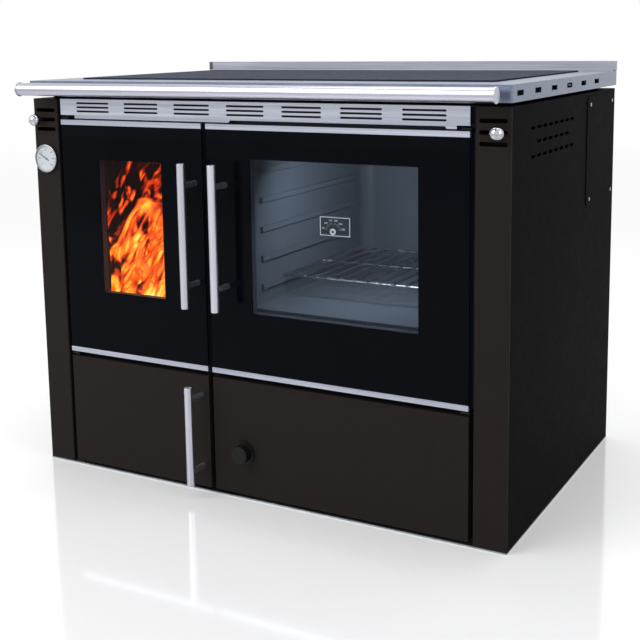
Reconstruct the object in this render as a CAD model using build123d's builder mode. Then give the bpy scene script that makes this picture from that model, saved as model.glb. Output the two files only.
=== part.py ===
"""A free-standing kitchen boiler stove: casing, firebox with water jacket, oven and their doors.

Millimetres, +Z up, the front towards -Y. The origin is on the floor, under the middle of the casing.
"""
from build123d import *
import os

os.makedirs("parts", exist_ok=True)

# Casing
casing_width = 1080.0
casing_depth = 685.0
casing_height = 812.0
sheet = 3.0
rear_sheet = 2.0
pan_flange_height = 20.0
half_width = casing_width / 2
front = -casing_depth / 2
back = casing_depth / 2

# Levelling screws and the nuts welded to the base pan
levelling_screw_radius = 5.0
levelling_screw_length = 40.0
levelling_screw_inset = 45.0
levelling_head_radius = 8.5
levelling_head_height = 7.0
levelling_nut_radius = 11.0
levelling_nut_height = 12.0
levelling_retraction = 0.5
screw_clearance = 0.1

# Front posts
post_width = 66.0
post_depth = 60.0
post_edge_radius = 2.0
post_slot_length = 52.0
post_slot_height = 8.0
post_slot_pitch = 20.3
post_slot_drop = 45.0
post_inner = half_width - post_width
post_slot_middle_z = casing_height - post_slot_drop

# Side panels
side_flange_width = 45.0
side_rear_flange_width = 20.0
side_vent_length = 24.0
side_vent_height = 6.0
side_vent_pitch = 34.5
side_vent_row_pitch = 26.0
side_vent_counts = (8, 6, 8)
side_vent_front_distance = 238.0
side_vent_top_z = post_slot_middle_z
side_vent_middle_y = front + side_vent_front_distance

# Cover over the side flue outlet
cover_sheet = 1.5
cover_depth = 206.0
cover_height = 234.0
cover_rear_distance = 13.0
cover_top_drop = 7.0
cover_rear_y = back - cover_rear_distance
cover_front_y = cover_rear_y - cover_depth
cover_high_z = casing_height - cover_top_drop
cover_low_z = cover_high_z - cover_height
cover_corner_radius = 14.0
cover_screw_inset = 18.0
screw_radius = 2.0
screw_head_radius = 4.0
screw_head_height = 2.0
side_outlet_radius = 74.0

# Plane of the doors
side_gap = 9.5
middle_gap = 11.0
fire_door_width = 361.0
glass_thickness = 5.0
door_frame_depth = 15.0
door_frame_sheet = 2.5
door_frame_inset = 1.5
door_low_z = 260.3
door_top_drop = 44.0
door_high_z = casing_height - door_top_drop
trim_height = 10.4
trim_proud = 1.0
door_field_low_x = -(post_inner - side_gap)
door_field_high_x = post_inner - side_gap
fire_door_high_x = door_field_low_x + fire_door_width
oven_door_low_x = fire_door_high_x + middle_gap

# Lower doors
lower_door_low_z = 9.0
lower_door_high_z = 249.6
lower_door_depth = 20.0
lower_door_sheet = 2.5

# Oven cavity
oven_side_gap = 80.5
oven_sill = 137.7
oven_top_drop = 46.0
oven_width = door_field_high_x - oven_door_low_x - 2 * oven_side_gap
oven_low_z = door_low_z + oven_sill
oven_high_z = door_high_z - oven_top_drop

# Windows, measured at the glass
fire_window_border = 99.0
fire_window_sill = 139.7
fire_window_top_drop = 82.5
fire_window_shift = -3.0
fire_window_width = fire_door_width - 2 * fire_window_border
fire_window_low_z = door_low_z + fire_window_sill
fire_window_high_z = door_high_z - fire_window_top_drop
oven_window_inset = 18.5
oven_window_below = 6.0
oven_window_top_inset = 21.0
oven_window_width = oven_width - 2 * oven_window_inset
oven_window_low_z = oven_low_z - oven_window_below
oven_window_high_z = oven_high_z - oven_window_top_inset
window_corner_radius = 2.0
inner_glass_thickness = 3.5
inner_glass_lap = 8.0

# Hinges
hinge_edge_distance = 8.0
hinge_front_distance = 10.0
hinge_pin_radius = 4.0
hinge_pin_engagement = 20.0
running_clearance = 0.05
hinge_bore_spare = 3.0
hinge_stile_width = 18.0
hinge_bracket_sheet = 3.0
hinge_bracket_half_width = 9.0
hinge_bracket_front = 3.0
hinge_top_gap = 2.0
hinge_collar_radius = 7.0
hinge_collar_gap = 0.3
hinge_y = front + hinge_front_distance
fire_hinge_x = door_field_low_x + hinge_edge_distance
oven_hinge_x = door_field_high_x - hinge_edge_distance

# Bar handles
handle_radius = 8.5
handle_standoff_radius = 6.0
handle_axis_distance = 47.0
handle_bore_radius = 6.5
handle_bore_depth = 4.0
handle_edge_radius = 1.0
handle_sill = 139.7
handle_top_drop = 76.0
handle_low_z = door_low_z + handle_sill
handle_high_z = door_high_z - handle_top_drop
handle_standoff_inset = 44.0
fire_handle_edge_distance = 18.5
oven_handle_edge_distance = 42.5
ash_handle_sill = 18.5
ash_handle_top_drop = 14.1
ash_handle_low_z = lower_door_low_z + ash_handle_sill
ash_handle_high_z = lower_door_high_z - ash_handle_top_drop
ash_handle_standoff_inset = 28.0

# Bulkheads and the openings that the doors close
bulkhead_gap = 24.0
bulkhead_thickness = 5.0
bulkhead_front = front + bulkhead_gap
bulkhead_back = bulkhead_front + bulkhead_thickness
fire_opening_inset = 50.5
fire_opening_sill = 69.7
fire_opening_top_drop = 38.0
fire_opening_width = fire_door_width - 2 * fire_opening_inset
fire_opening_low_z = door_low_z + fire_opening_sill
fire_opening_high_z = door_high_z - fire_opening_top_drop
ash_opening_inset = 40.5
ash_opening_top_drop = 19.6
bulkhead_joint_rise = 16.0
ash_opening_width = fire_door_width - 2 * ash_opening_inset
ash_opening_high_z = lower_door_high_z - ash_opening_top_drop
bulkhead_joint_z = ash_opening_high_z + bulkhead_joint_rise
gasket_width = 12.0
gasket_lap = 6.0
gasket_gap = 0.3
fire_middle_x = (door_field_low_x + fire_door_high_x) / 2
oven_middle_x = (oven_door_low_x + door_field_high_x) / 2

# Vent strip over the doors
strip_height = 34.0
strip_sheet = 1.5
strip_groups = 7
strip_margin = 44.25
strip_slot_length = 85.7
strip_slot_height = 4.0
strip_slot_pitch = 8.6
strip_slot_rows = 3
strip_lip_setback = 10.0
strip_lip_height = 7.5
strip_lip_inset = 29.0
strip_notch_inset = 48.0
strip_notch_height = 4.5
strip_notch_chamfer = 3.5
strip_low_z = casing_height - strip_height
strip_lip_low_z = strip_low_z - strip_lip_height
strip_width = door_field_high_x - door_field_low_x
strip_group_pitch = (strip_width - 2 * strip_margin - strip_slot_length) / (strip_groups - 1)
strip_notch_low_x = oven_door_low_x + strip_notch_inset
strip_notch_high_x = door_field_high_x - strip_notch_inset

# Spacer and top frame
spacer_height = 7.0
spacer_side_inset = 33.0
spacer_front_inset = 29.0
spacer_rear_inset = 20.0
spacer_width = 27.0
frame_height = 31.0
frame_sheet = 2.5
frame_side_overhang = 3.0
frame_front_overhang = 7.0
frame_rear_overhang = 3.0
frame_corner_radius = 4.0
frame_flange_width = 60.0
frame_slot_count = 6
frame_slot_length = 34.0
frame_slot_height = 9.5
frame_slot_pitch = 97.6
frame_slot_front_distance = 35.0
frame_slot_first_y = front + frame_slot_front_distance
frame_slot_drop = 15.6
frame_low_z = casing_height + spacer_height
frame_high_z = frame_low_z + frame_height

# Hob plate on its seal
hob_side_distance = 63.0
hob_rear_distance = 67.0
hob_thickness = 6.0
hob_proud = 3.0
hob_corner_radius = 4.0
hob_edge_radius = 0.8
hob_side_clearance = 1.5
hob_front_distance = 90.0
seal_height = 3.0
seal_width = 8.0
ledge_width = 14.0
hob_width = casing_width - 2 * hob_side_distance
hob_depth = casing_depth - hob_front_distance - hob_rear_distance
hob_middle_y = front + hob_front_distance + hob_depth / 2
hob_low_z = frame_high_z + hob_proud - hob_thickness

# Rear upstand
upstand_height = 22.0
upstand_sheet = 2.0
upstand_foot = 12.0
upstand_return = 9.0

# Hand rail
rail_radius = 13.5
rail_wall = 2.0
rail_end_inset = 12.0
rail_front_distance = 50.0
rail_rise = 15.0
rail_cap_radius = 15.0
rail_cap_thickness = 3.0
rail_plug_length = 10.0
rail_plug_clearance = 0.05
rail_bracket_radius = 9.0
rail_bracket_inset = 14.0
rail_y = front - rail_front_distance
rail_z = frame_low_z + rail_rise
rail_length = casing_width - 2 * rail_end_inset

# Boiler and firebox
jacket_inset = 8.5
jacket_rear_gap = 156.0
jacket_low_z = 262.0
jacket_top_drop = 22.0
jacket_wall = 4.0
jacket_water_gap = 30.0
grate_ledge_height = 10.0
grate_ledge_width = 12.0
grate_thickness = 20.0
grate_clearance = 1.0
grate_low_z = 300.0
grate_slot_count = 9
grate_slot_width = 9.0
grate_slot_pitch = 22.0
grate_slot_length = 260.0
brick_thickness = 25.0
brick_height = 200.0
brick_clearance = 0.3
throat_drop = 68.0
throat_thickness = 8.0
throat_front_gap = 160.0
jacket_width = fire_door_width - 2 * jacket_inset
jacket_depth = back - jacket_rear_gap - bulkhead_back
jacket_high_z = casing_height - jacket_top_drop
throat_z = jacket_high_z - throat_drop
jacket_low_x = fire_middle_x - jacket_width / 2
jacket_high_x = fire_middle_x + jacket_width / 2
jacket_back_y = bulkhead_back + jacket_depth
jacket_skin = 2 * jacket_wall + jacket_water_gap
fire_low_x = jacket_low_x + jacket_skin
fire_high_x = jacket_high_x - jacket_skin
fire_back_y = jacket_back_y - jacket_skin

# Water sockets in the back of the jacket
flow_tap_radius = 15.15
coil_tap_radius = 9.3
socket_wall = 4.85
socket_thread_length = 22.0
socket_step = 2.0
socket_beyond_rear = 15.0
socket_hole_clearance = 2.0
flow_socket_drop = 45.0
return_socket_rise = 48.0
coil_socket_drop = 100.0
flow_socket_z = jacket_high_z - flow_socket_drop
return_socket_z = jacket_low_z + return_socket_rise
coil_socket_z = jacket_high_z - coil_socket_drop
coil_socket_spacing = 120.0
return_socket_shift = -80.0
drain_socket_shift = 80.0

# Ash compartment
ash_box_sheet = 2.0
ash_box_floor_z = 20.0
ash_box_side_inset = 4.0
ash_pan_sheet = 2.0
ash_pan_height = 98.0
ash_pan_side_gap = 12.0
ash_pan_front_gap = 8.0
ash_pan_rear_gap = 52.0
ash_pan_depth = jacket_depth - ash_pan_front_gap - ash_pan_rear_gap
ash_pan_lug_length = 40.0
ash_pan_lug_reach = 14.0
air_opening_length = 100.0
air_opening_low_z = 60.0
air_opening_high_z = 140.0
air_opening_front_distance = 190.0
air_opening_middle_y = front + air_opening_front_distance

# Oven box, its rack rails and its rack
oven_rear_gap = 145.0
oven_depth = back - oven_rear_gap - bulkhead_back
oven_sheet = 2.0
oven_corner_radius = 30.0
oven_rail_steps = (0.55, 1.52, 2.52, 3.52, 4.52)
oven_rail_spaces = 5.4
oven_rail_pitch = (oven_high_z - oven_low_z) / oven_rail_spaces
oven_rail_levels = [oven_low_z + step * oven_rail_pitch for step in oven_rail_steps]
oven_rail_height = 14.0
oven_rail_proud = 6.0
oven_rail_front_gap = 40.0
oven_rail_rear_gap = 60.0
rack_wire_radius = 2.5
rack_bar_radius = 3.0
rack_cross_radius = 2.7
rack_wire_count = 13
rack_wire_pitch = oven_width / (rack_wire_count + 0.5)
rack_front_distance = 154.0
rack_rear_gap = 12.0
rack_front_y = front + rack_front_distance
rack_side_gap = 1.0
rack_upturn = 5.0
rack_upturn_radius = 2.2
rack_overhang = 4.0
oven_low_x = oven_middle_x - oven_width / 2
oven_high_x = oven_middle_x + oven_width / 2
oven_back_y = bulkhead_back + oven_depth
rack_rear_y = oven_back_y - rack_rear_gap

# Smoke casing round the oven
smoke_sheet = 3.0
smoke_low_z = 290.0
smoke_post_gap = 18.0
smoke_rear_gap = 52.5
smoke_side_gap = 4.0
smoke_shelf_drop = 56.0
damper_opening_width = 120.0
damper_opening_depth = 52.0
damper_opening_rear_gap = 28.0
smoke_high_x = post_inner - smoke_post_gap
smoke_back_y = back - smoke_rear_gap
smoke_shelf_z = casing_height - smoke_shelf_drop
smoke_low_x = jacket_high_x + smoke_side_gap

# Flue spigot
flue_offset = 114.0
flue_drop = 91.0
flue_x = oven_middle_x + flue_offset
flue_z = smoke_shelf_z - flue_drop
flue_radius = 74.5
flue_wall = 2.5
flue_shoulder = 1.5
flue_flange_radius = 95.0
flue_flange_thickness = 3.0
flue_beyond_rear = 50.0
flue_hole_clearance = 4.0

# Pull rods with ball knobs
rod_radius = 3.0
rod_inset = 20.0
rod_x = half_width - rod_inset
rod_z = post_slot_middle_z
rod_travel = 60.0
ball_radius = 13.0
ball_distance = 20.0
ball_bore_depth = 12.0
rod_guide_sheet = 3.0
rod_guide_height = 30.0
lug_thickness = 6.0
lug_half_height = 8.0
ball_y = front - ball_distance

# Start damper plate
damper_lap = 8.0
damper_thickness = 3.0
slide_clearance = 0.3
damper_arm_half_width = 10.0
damper_slot_clearance = 2.0

# Secondary air duct and its slide
air_duct_depth = 19.0
air_duct_front_distance = 267.5
air_duct_length = 190.0
air_duct_low_y = front + air_duct_front_distance
air_duct_high_y = air_duct_low_y + air_duct_length
air_duct_half_height = 30.0
air_duct_wall = 3.0
air_slot_count = 3
air_slot_width = 12.0
air_slot_height = 30.0
air_slot_pitch = 30.0
air_slide_length = 122.0
air_slide_thickness = 2.0
air_guide_height = 6.0
air_lip_height = 3.0
air_lip_thickness = 2.4

# Air regulator
regulator_door_inset = 71.0
regulator_z = 99.4
regulator_x = oven_door_low_x + regulator_door_inset
regulator_skirt_radius = 25.0
regulator_skirt_thickness = 3.5
regulator_grip_radius = 19.0
regulator_grip_depth = 17.0
regulator_grip_flutes = 16
regulator_flute_radius = 1.6
regulator_face_gap = 0.3
spindle_radius = 4.0
spindle_hole_radius = 4.3
spindle_reach = 64.0
spindle_end_y = front + spindle_reach
spindle_socket_depth = 10.0
lever_length = 30.0
lever_half_width = 6.0
lever_thickness = 4.0

# Primary air flap
flap_sheet = 3.0
flap_lap = 5.0
flap_shaft_radius = 3.0
flap_shaft_distance = 5.0
flap_shaft_rise = 8.0
flap_ear_sheet = 4.0
flap_ear_gap = 0.3
flap_ear_reach = 13.0

# Boiler thermometer on the left post
gauge_radius = 30.0
gauge_depth = 8.0
gauge_wall = 2.5
gauge_floor = 4.0
gauge_drop = 128.5
gauge_z = casing_height - gauge_drop
gauge_dial_thickness = 1.0
gauge_needle_length = 21.0
gauge_needle_tail = 9.0
gauge_needle_half_width = 0.8
gauge_needle_thickness = 0.8
gauge_hub_radius = 2.6
gauge_rest_angle = 60.0
needle_gap = 0.3
gauge_x = -(half_width - post_width / 2)

# Oven thermometer on the inner glass
oven_gauge_width = 66.0
oven_gauge_height = 38.0
oven_gauge_thickness = 2.0
oven_gauge_corner_radius = 1.5
oven_gauge_rise = 180.0
oven_gauge_z = oven_low_z + oven_gauge_rise
oven_gauge_hub_drop = 10.0
oven_gauge_hub_shift = -4.0
oven_needle_length = 20.0
oven_hub_radius = 5.0
oven_needle_rest_angle = 0.0


def finish(piece, name):
    """Name a finished piece and write it as its own file."""
    piece.label = name
    export_step(piece, f"parts/{name}.step")


def front_plane(y):
    """The vertical plane at one depth: sketch x is X, sketch y is Z, and its normal is -Y."""
    return Plane(origin=(0, y, 0), x_dir=(1, 0, 0), z_dir=(0, -1, 0))


def cuboid(x, y, z, mode=Mode.ADD):
    """Add or cut a block given by its two limits along each axis."""
    with Locations(((x[0] + x[1]) / 2, (y[0] + y[1]) / 2, (z[0] + z[1]) / 2)):
        Box(abs(x[1] - x[0]), abs(y[1] - y[0]), abs(z[1] - z[0]), mode=mode)


def bar(start, end, radius, mode=Mode.ADD):
    """Add or cut a round bar between two points."""
    axis = Vector(*end) - Vector(*start)
    with Locations(Plane(origin=start, z_dir=axis).location):
        Cylinder(radius, axis.length, align=(Align.CENTER, Align.CENTER, Align.MIN), mode=mode)


def span(middle, length):
    """The two limits of a length about its middle."""
    return (middle - length / 2, middle + length / 2)


fire_window_x = span(fire_middle_x + fire_window_shift, fire_window_width)
oven_window_x = span(oven_middle_x, oven_window_width)
fire_opening_x = span(fire_middle_x, fire_opening_width)
oven_opening_x = (oven_low_x, oven_high_x)
ash_opening_x = span(fire_middle_x, ash_opening_width)
ash_opening_low_z = ash_box_floor_z + 2 * ash_box_sheet

levelling_places = [
    (side * (half_width - levelling_screw_inset), end * (casing_depth / 2 - levelling_screw_inset))
    for side in (-1, 1)
    for end in (-1, 1)
]

# Base pan with its side flanges and welded nuts
with BuildPart() as base_pan:
    cuboid((-half_width, half_width), (front, back), (0, sheet))
    for side in (-1, 1):
        outer = side * (half_width - sheet)
        flange_y = (front + post_depth + sheet, back - rear_sheet)
        cuboid((outer, outer - side * sheet), flange_y, (sheet, sheet + pan_flange_height))
    for place in levelling_places:
        bar((*place, sheet), (*place, sheet + levelling_nut_height), levelling_nut_radius)
    for place in levelling_places:
        bore_top = sheet + levelling_nut_height
        bore_radius = levelling_screw_radius + screw_clearance
        bar((*place, 0), (*place, bore_top), bore_radius, mode=Mode.SUBTRACT)
finish(base_pan.part, "base_pan")

# Four levelling screws, drawn up flush with the underside
with BuildPart() as levelling_screws:
    for place in levelling_places:
        top = levelling_retraction + levelling_screw_length
        bar((*place, levelling_retraction), (*place, top), levelling_screw_radius)
        with BuildSketch(Plane.XY.offset(top - levelling_head_height)):
            with Locations(place):
                RegularPolygon(levelling_head_radius, 6)
        extrude(amount=levelling_head_height)
finish(levelling_screws.part, "levelling_screws")


def make_post(side):
    """One front post: a folded channel, closed on top, with three vent slots."""
    post_x = (side * half_width, side * post_inner)
    with BuildPart() as post:
        with BuildSketch(front_plane(front)):
            with Locations((sum(post_x) / 2, (sheet + casing_height) / 2)):
                Rectangle(post_width, casing_height - sheet)
            with Locations((sum(post_x) / 2, post_slot_middle_z)):
                with GridLocations(0, post_slot_pitch, 1, 3):
                    SlotOverall(post_slot_length, post_slot_height, mode=Mode.SUBTRACT)
        extrude(amount=-sheet)
        post_y = (front + sheet, front + post_depth)
        cuboid((post_x[1], post_x[1] + side * sheet), post_y, (sheet, casing_height))
        top_x = (post_x[1], post_x[0] - side * sheet)
        cuboid(top_x, post_y, (casing_height - sheet, casing_height))
        face_edges = post.edges().filter_by(Axis.Z).group_by(Axis.Y)[0]
        fillet(face_edges, radius=min(post_edge_radius, sheet * 0.7))
    return post.part


finish(make_post(-1), "left_post")
finish(make_post(1), "right_post")


def cover_screw_places():
    """Depth and height of the four screws of the side flue cover."""
    return [
        (y, z)
        for y in (cover_front_y + cover_screw_inset, cover_rear_y - cover_screw_inset)
        for z in (cover_low_z + cover_screw_inset, cover_high_z - cover_screw_inset)
    ]


def rear_screw_places():
    """Sideways place and height of the six screws of the rear panel."""
    reach = half_width - sheet - side_rear_flange_width / 2
    heights = (casing_height * 0.08, casing_height * 0.5, casing_height * 0.92)
    return [(side * reach, z) for side in (-1, 1) for z in heights]


def make_side_panel(side, with_outlet):
    """One side panel with its vents, top and rear flanges, and the side flue outlet if it has one."""
    outer = side * half_width
    inner = outer - side * sheet
    panel_y = (front + sheet, back)
    with BuildPart() as panel:
        cuboid((outer, inner), panel_y, (sheet, casing_height))
        flange_y = (front + post_depth + sheet, back - rear_sheet)
        flange_x = (inner, inner - side * side_flange_width)
        cuboid(flange_x, flange_y, (casing_height - sheet, casing_height))
        rear_x = (inner, inner - side * side_rear_flange_width)
        rear_y = (back - rear_sheet - sheet, back - rear_sheet)
        cuboid(rear_x, rear_y, (sheet + pan_flange_height, casing_height - sheet))
        with BuildSketch(Plane.YZ.offset(outer)):
            for row, count in enumerate(side_vent_counts):
                row_z = side_vent_top_z - row * side_vent_row_pitch
                with Locations((side_vent_middle_y, row_z)):
                    with GridLocations(side_vent_pitch, 0, count, 1):
                        SlotOverall(side_vent_length, side_vent_height)
            if with_outlet:
                with Locations(((cover_front_y + cover_rear_y) / 2, (cover_low_z + cover_high_z) / 2)):
                    Circle(side_outlet_radius)
                with Locations(*cover_screw_places()):
                    Circle(screw_radius + screw_clearance)
        extrude(amount=-side * sheet, mode=Mode.SUBTRACT)
        for x, z in rear_screw_places():
            if x * side > 0:
                hole = ((x, rear_y[0], z), (x, rear_y[1], z))
                bar(*hole, screw_radius + screw_clearance, mode=Mode.SUBTRACT)
    return panel.part


finish(make_side_panel(-1, False), "left_side_panel")
finish(make_side_panel(1, True), "right_side_panel")

# Cover plate over the side flue outlet
with BuildPart() as flue_side_cover:
    with BuildSketch(Plane.YZ.offset(half_width)):
        with Locations(((cover_front_y + cover_rear_y) / 2, (cover_low_z + cover_high_z) / 2)):
            RectangleRounded(cover_rear_y - cover_front_y, cover_high_z - cover_low_z, cover_corner_radius)
        with Locations(*cover_screw_places()):
            Circle(screw_radius + screw_clearance, mode=Mode.SUBTRACT)
    extrude(amount=cover_sheet)
finish(flue_side_cover.part, "flue_side_cover")

# Pan-head screws of the side cover and the rear panel
with BuildPart() as casing_screws:
    for y, z in cover_screw_places():
        seat = half_width + cover_sheet
        bar((half_width - sheet, y, z), (seat, y, z), screw_radius)
        bar((seat, y, z), (seat + screw_head_height, y, z), screw_head_radius)
    for x, z in rear_screw_places():
        bar((x, back - rear_sheet - sheet, z), (x, back, z), screw_radius)
        bar((x, back, z), (x, back + screw_head_height, z), screw_head_radius)
finish(casing_screws.part, "casing_screws")


def socket_places():
    """Name, sideways place, height and tap radius of each water socket."""
    return [
        ("flow", fire_middle_x, flow_socket_z, flow_tap_radius),
        ("return", fire_middle_x + return_socket_shift, return_socket_z, flow_tap_radius),
        ("drain", fire_middle_x + drain_socket_shift, return_socket_z, coil_tap_radius),
        ("coil_in", fire_middle_x - coil_socket_spacing / 2, coil_socket_z, coil_tap_radius),
        ("coil_out", fire_middle_x + coil_socket_spacing / 2, coil_socket_z, coil_tap_radius),
    ]


# Rear panel with its flue and water holes
with BuildPart() as rear_panel:
    with BuildSketch(front_plane(back - rear_sheet)):
        with Locations((0, (sheet + casing_height) / 2)):
            Rectangle(casing_width - 2 * sheet, casing_height - sheet)
        with Locations((flue_x, flue_z)):
            Circle(flue_radius + flue_hole_clearance, mode=Mode.SUBTRACT)
        for socket, x, z, tap_radius in socket_places():
            with Locations((x, z)):
                Circle(tap_radius + socket_wall + socket_hole_clearance, mode=Mode.SUBTRACT)
        with Locations(*rear_screw_places()):
            Circle(screw_radius + screw_clearance, mode=Mode.SUBTRACT)
    extrude(amount=-rear_sheet)
finish(rear_panel.part, "rear_panel")

# Bulkhead behind the fire and oven doors, with their openings
with BuildPart() as front_bulkhead:
    with BuildSketch(front_plane(bulkhead_front)):
        with Locations((0, (bulkhead_joint_z + casing_height) / 2)):
            Rectangle(2 * post_inner, casing_height - bulkhead_joint_z)
        with Locations((fire_middle_x, (fire_opening_low_z + fire_opening_high_z) / 2)):
            Rectangle(fire_opening_width, fire_opening_high_z - fire_opening_low_z, mode=Mode.SUBTRACT)
        with Locations((oven_middle_x, (oven_low_z + oven_high_z) / 2)):
            Rectangle(oven_width, oven_high_z - oven_low_z, mode=Mode.SUBTRACT)
    extrude(amount=-bulkhead_thickness)
finish(front_bulkhead.part, "front_bulkhead")

# Lower bulkhead, with the ash opening and the hole for the regulator's spindle
with BuildPart() as lower_bulkhead:
    with BuildSketch(front_plane(bulkhead_front)):
        with Locations((0, (sheet + bulkhead_joint_z) / 2)):
            Rectangle(2 * post_inner, bulkhead_joint_z - sheet)
        with Locations((fire_middle_x, (ash_opening_low_z + ash_opening_high_z) / 2)):
            Rectangle(ash_opening_width, ash_opening_high_z - ash_opening_low_z, mode=Mode.SUBTRACT)
        with Locations((regulator_x, regulator_z)):
            Circle(spindle_radius + running_clearance, mode=Mode.SUBTRACT)
    extrude(amount=-bulkhead_thickness)
finish(lower_bulkhead.part, "lower_bulkhead")


def hinge_bracket(x, low_z, pin_low_z, pin_high_z, collar_z=None):
    """One hinge bracket: a tongue off the bulkhead with its pin, and a collar that carries the door."""
    tongue_x = span(x, 2 * hinge_bracket_half_width)
    cuboid(tongue_x, (front + hinge_bracket_front, bulkhead_front), (low_z, low_z + hinge_bracket_sheet))
    bar((x, hinge_y, pin_low_z), (x, hinge_y, pin_high_z), hinge_pin_radius)
    if collar_z is not None:
        top_z = low_z + hinge_bracket_sheet
        bar((x, hinge_y, top_z), (x, hinge_y, collar_z), hinge_collar_radius)


middle_bracket_z = (door_low_z + lower_door_high_z - hinge_bracket_sheet) / 2
top_bracket_z = door_high_z + hinge_top_gap
door_collar_z = door_low_z - hinge_collar_gap
ash_collar_z = lower_door_low_z - hinge_collar_gap
door_pin_high_z = door_low_z + hinge_pin_engagement
door_pin_low_z = door_high_z - hinge_pin_engagement
ash_pin_high_z = lower_door_low_z + hinge_pin_engagement
ash_pin_low_z = lower_door_high_z - hinge_pin_engagement

# Hinge brackets with their pins
with BuildPart() as hinge_brackets:
    for x in (fire_hinge_x, oven_hinge_x):
        hinge_bracket(x, top_bracket_z, door_pin_low_z, top_bracket_z + hinge_bracket_sheet)
    hinge_bracket(fire_hinge_x, middle_bracket_z, ash_pin_low_z, door_pin_high_z, door_collar_z)
    hinge_bracket(oven_hinge_x, middle_bracket_z, middle_bracket_z, door_pin_high_z, door_collar_z)
    hinge_bracket(fire_hinge_x, sheet, sheet, ash_pin_high_z, ash_collar_z)
finish(hinge_brackets.part, "hinge_brackets")


def make_facia(door_x, window_x, window_z):
    """The black border of a door's glass, round its clear window."""
    with BuildPart() as facia:
        with BuildSketch(front_plane(front)):
            with Locations((sum(door_x) / 2, (door_low_z + door_high_z) / 2)):
                Rectangle(door_x[1] - door_x[0], door_high_z - door_low_z - 2 * trim_height)
            with Locations((sum(window_x) / 2, sum(window_z) / 2)):
                window_size = (window_x[1] - window_x[0], window_z[1] - window_z[0])
                RectangleRounded(*window_size, window_corner_radius, mode=Mode.SUBTRACT)
        extrude(amount=-glass_thickness)
    return facia.part


def make_window(window_x, window_z):
    """The clear middle of a door's glass."""
    with BuildPart() as window:
        with BuildSketch(front_plane(front)):
            with Locations((sum(window_x) / 2, sum(window_z) / 2)):
                window_size = (window_x[1] - window_x[0], window_z[1] - window_z[0])
                RectangleRounded(*window_size, window_corner_radius)
        extrude(amount=-glass_thickness)
    return window.part


def make_door_frame(door_x, window_x, window_z, hinge_x):
    """The folded steel frame behind a door's glass, with a solid stile for the hinge pins."""
    low_x = door_x[0] + door_frame_inset
    high_x = door_x[1] - door_frame_inset
    low_z = door_low_z
    high_z = door_high_z
    frame_y = (front + glass_thickness, front + glass_thickness + door_frame_depth)
    pocket_y = (frame_y[0], frame_y[1] - door_frame_sheet)
    wall = door_frame_sheet
    stile_low = wall
    stile_high = wall
    if hinge_x < sum(door_x) / 2:
        stile_low = hinge_stile_width
    else:
        stile_high = hinge_stile_width
    with BuildPart() as door_frame:
        cuboid((low_x, high_x), frame_y, (low_z, high_z))
        pocket_x = (low_x + stile_low, high_x - stile_high)
        cuboid(pocket_x, pocket_y, (low_z + wall, high_z - wall), mode=Mode.SUBTRACT)
        collar_x = (window_x[0] - wall, window_x[1] + wall)
        cuboid(collar_x, pocket_y, (window_z[0] - wall, window_z[1] + wall))
        cuboid(window_x, frame_y, window_z, mode=Mode.SUBTRACT)
        bore_radius = hinge_pin_radius + running_clearance
        bore_depth = hinge_pin_engagement + hinge_bore_spare
        bar((hinge_x, hinge_y, low_z), (hinge_x, hinge_y, low_z + bore_depth), bore_radius, mode=Mode.SUBTRACT)
        bar((hinge_x, hinge_y, high_z - bore_depth), (hinge_x, hinge_y, high_z), bore_radius, mode=Mode.SUBTRACT)
    return door_frame.part


def make_gasket(opening_x, opening_z):
    """The sealing rope round a door opening, on the back of the door's frame."""
    gasket_front = front + glass_thickness + door_frame_depth
    gasket_depth = bulkhead_front - gasket_gap - gasket_front
    with BuildPart() as gasket:
        with BuildSketch(front_plane(gasket_front)):
            with Locations((sum(opening_x) / 2, sum(opening_z) / 2)):
                inner_size = (
                    opening_x[1] - opening_x[0] + 2 * gasket_lap,
                    opening_z[1] - opening_z[0] + 2 * gasket_lap,
                )
                outer_size = (inner_size[0] + 2 * gasket_width, inner_size[1] + 2 * gasket_width)
                RectangleRounded(*outer_size, gasket_width)
                Rectangle(*inner_size, mode=Mode.SUBTRACT)
        extrude(amount=-gasket_depth)
    return gasket.part


def make_trims(door_x):
    """The stainless strips along the top and the bottom of a door's glass."""
    trim_y = (front - trim_proud, front + glass_thickness)
    with BuildPart() as trims:
        cuboid(door_x, trim_y, (door_high_z - trim_height, door_high_z))
        cuboid(door_x, trim_y, (door_low_z, door_low_z + trim_height))
    return trims.part


def make_handle(x, low_z, high_z, standoff_inset):
    """A bar handle on two standoffs, its bar bored at both ends."""
    axis_y = front - handle_axis_distance
    with BuildPart() as handle:
        bar((x, axis_y, low_z), (x, axis_y, high_z), handle_radius)
        rims = handle.edges().filter_by(GeomType.CIRCLE)
        fillet(rims, radius=handle_edge_radius)
        for z in (low_z + standoff_inset, high_z - standoff_inset):
            bar((x, axis_y, z), (x, front, z), handle_standoff_radius)
        bar((x, axis_y, low_z), (x, axis_y, low_z + handle_bore_depth), handle_bore_radius, mode=Mode.SUBTRACT)
        bar((x, axis_y, high_z - handle_bore_depth), (x, axis_y, high_z), handle_bore_radius, mode=Mode.SUBTRACT)
    return handle.part


# Fire door
fire_door_x = (door_field_low_x, fire_door_high_x)
fire_window_z = (fire_window_low_z, fire_window_high_z)
fire_handle_x = fire_door_high_x - fire_handle_edge_distance
finish(make_facia(fire_door_x, fire_window_x, fire_window_z), "fire_door_facia")
finish(make_window(fire_window_x, fire_window_z), "fire_door_window")
finish(make_door_frame(fire_door_x, fire_window_x, fire_window_z, fire_hinge_x), "fire_door_frame")
finish(make_gasket(fire_opening_x, (fire_opening_low_z, fire_opening_high_z)), "fire_door_gasket")
finish(make_trims(fire_door_x), "fire_door_trims")
finish(make_handle(fire_handle_x, handle_low_z, handle_high_z, handle_standoff_inset), "fire_door_handle")

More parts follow.
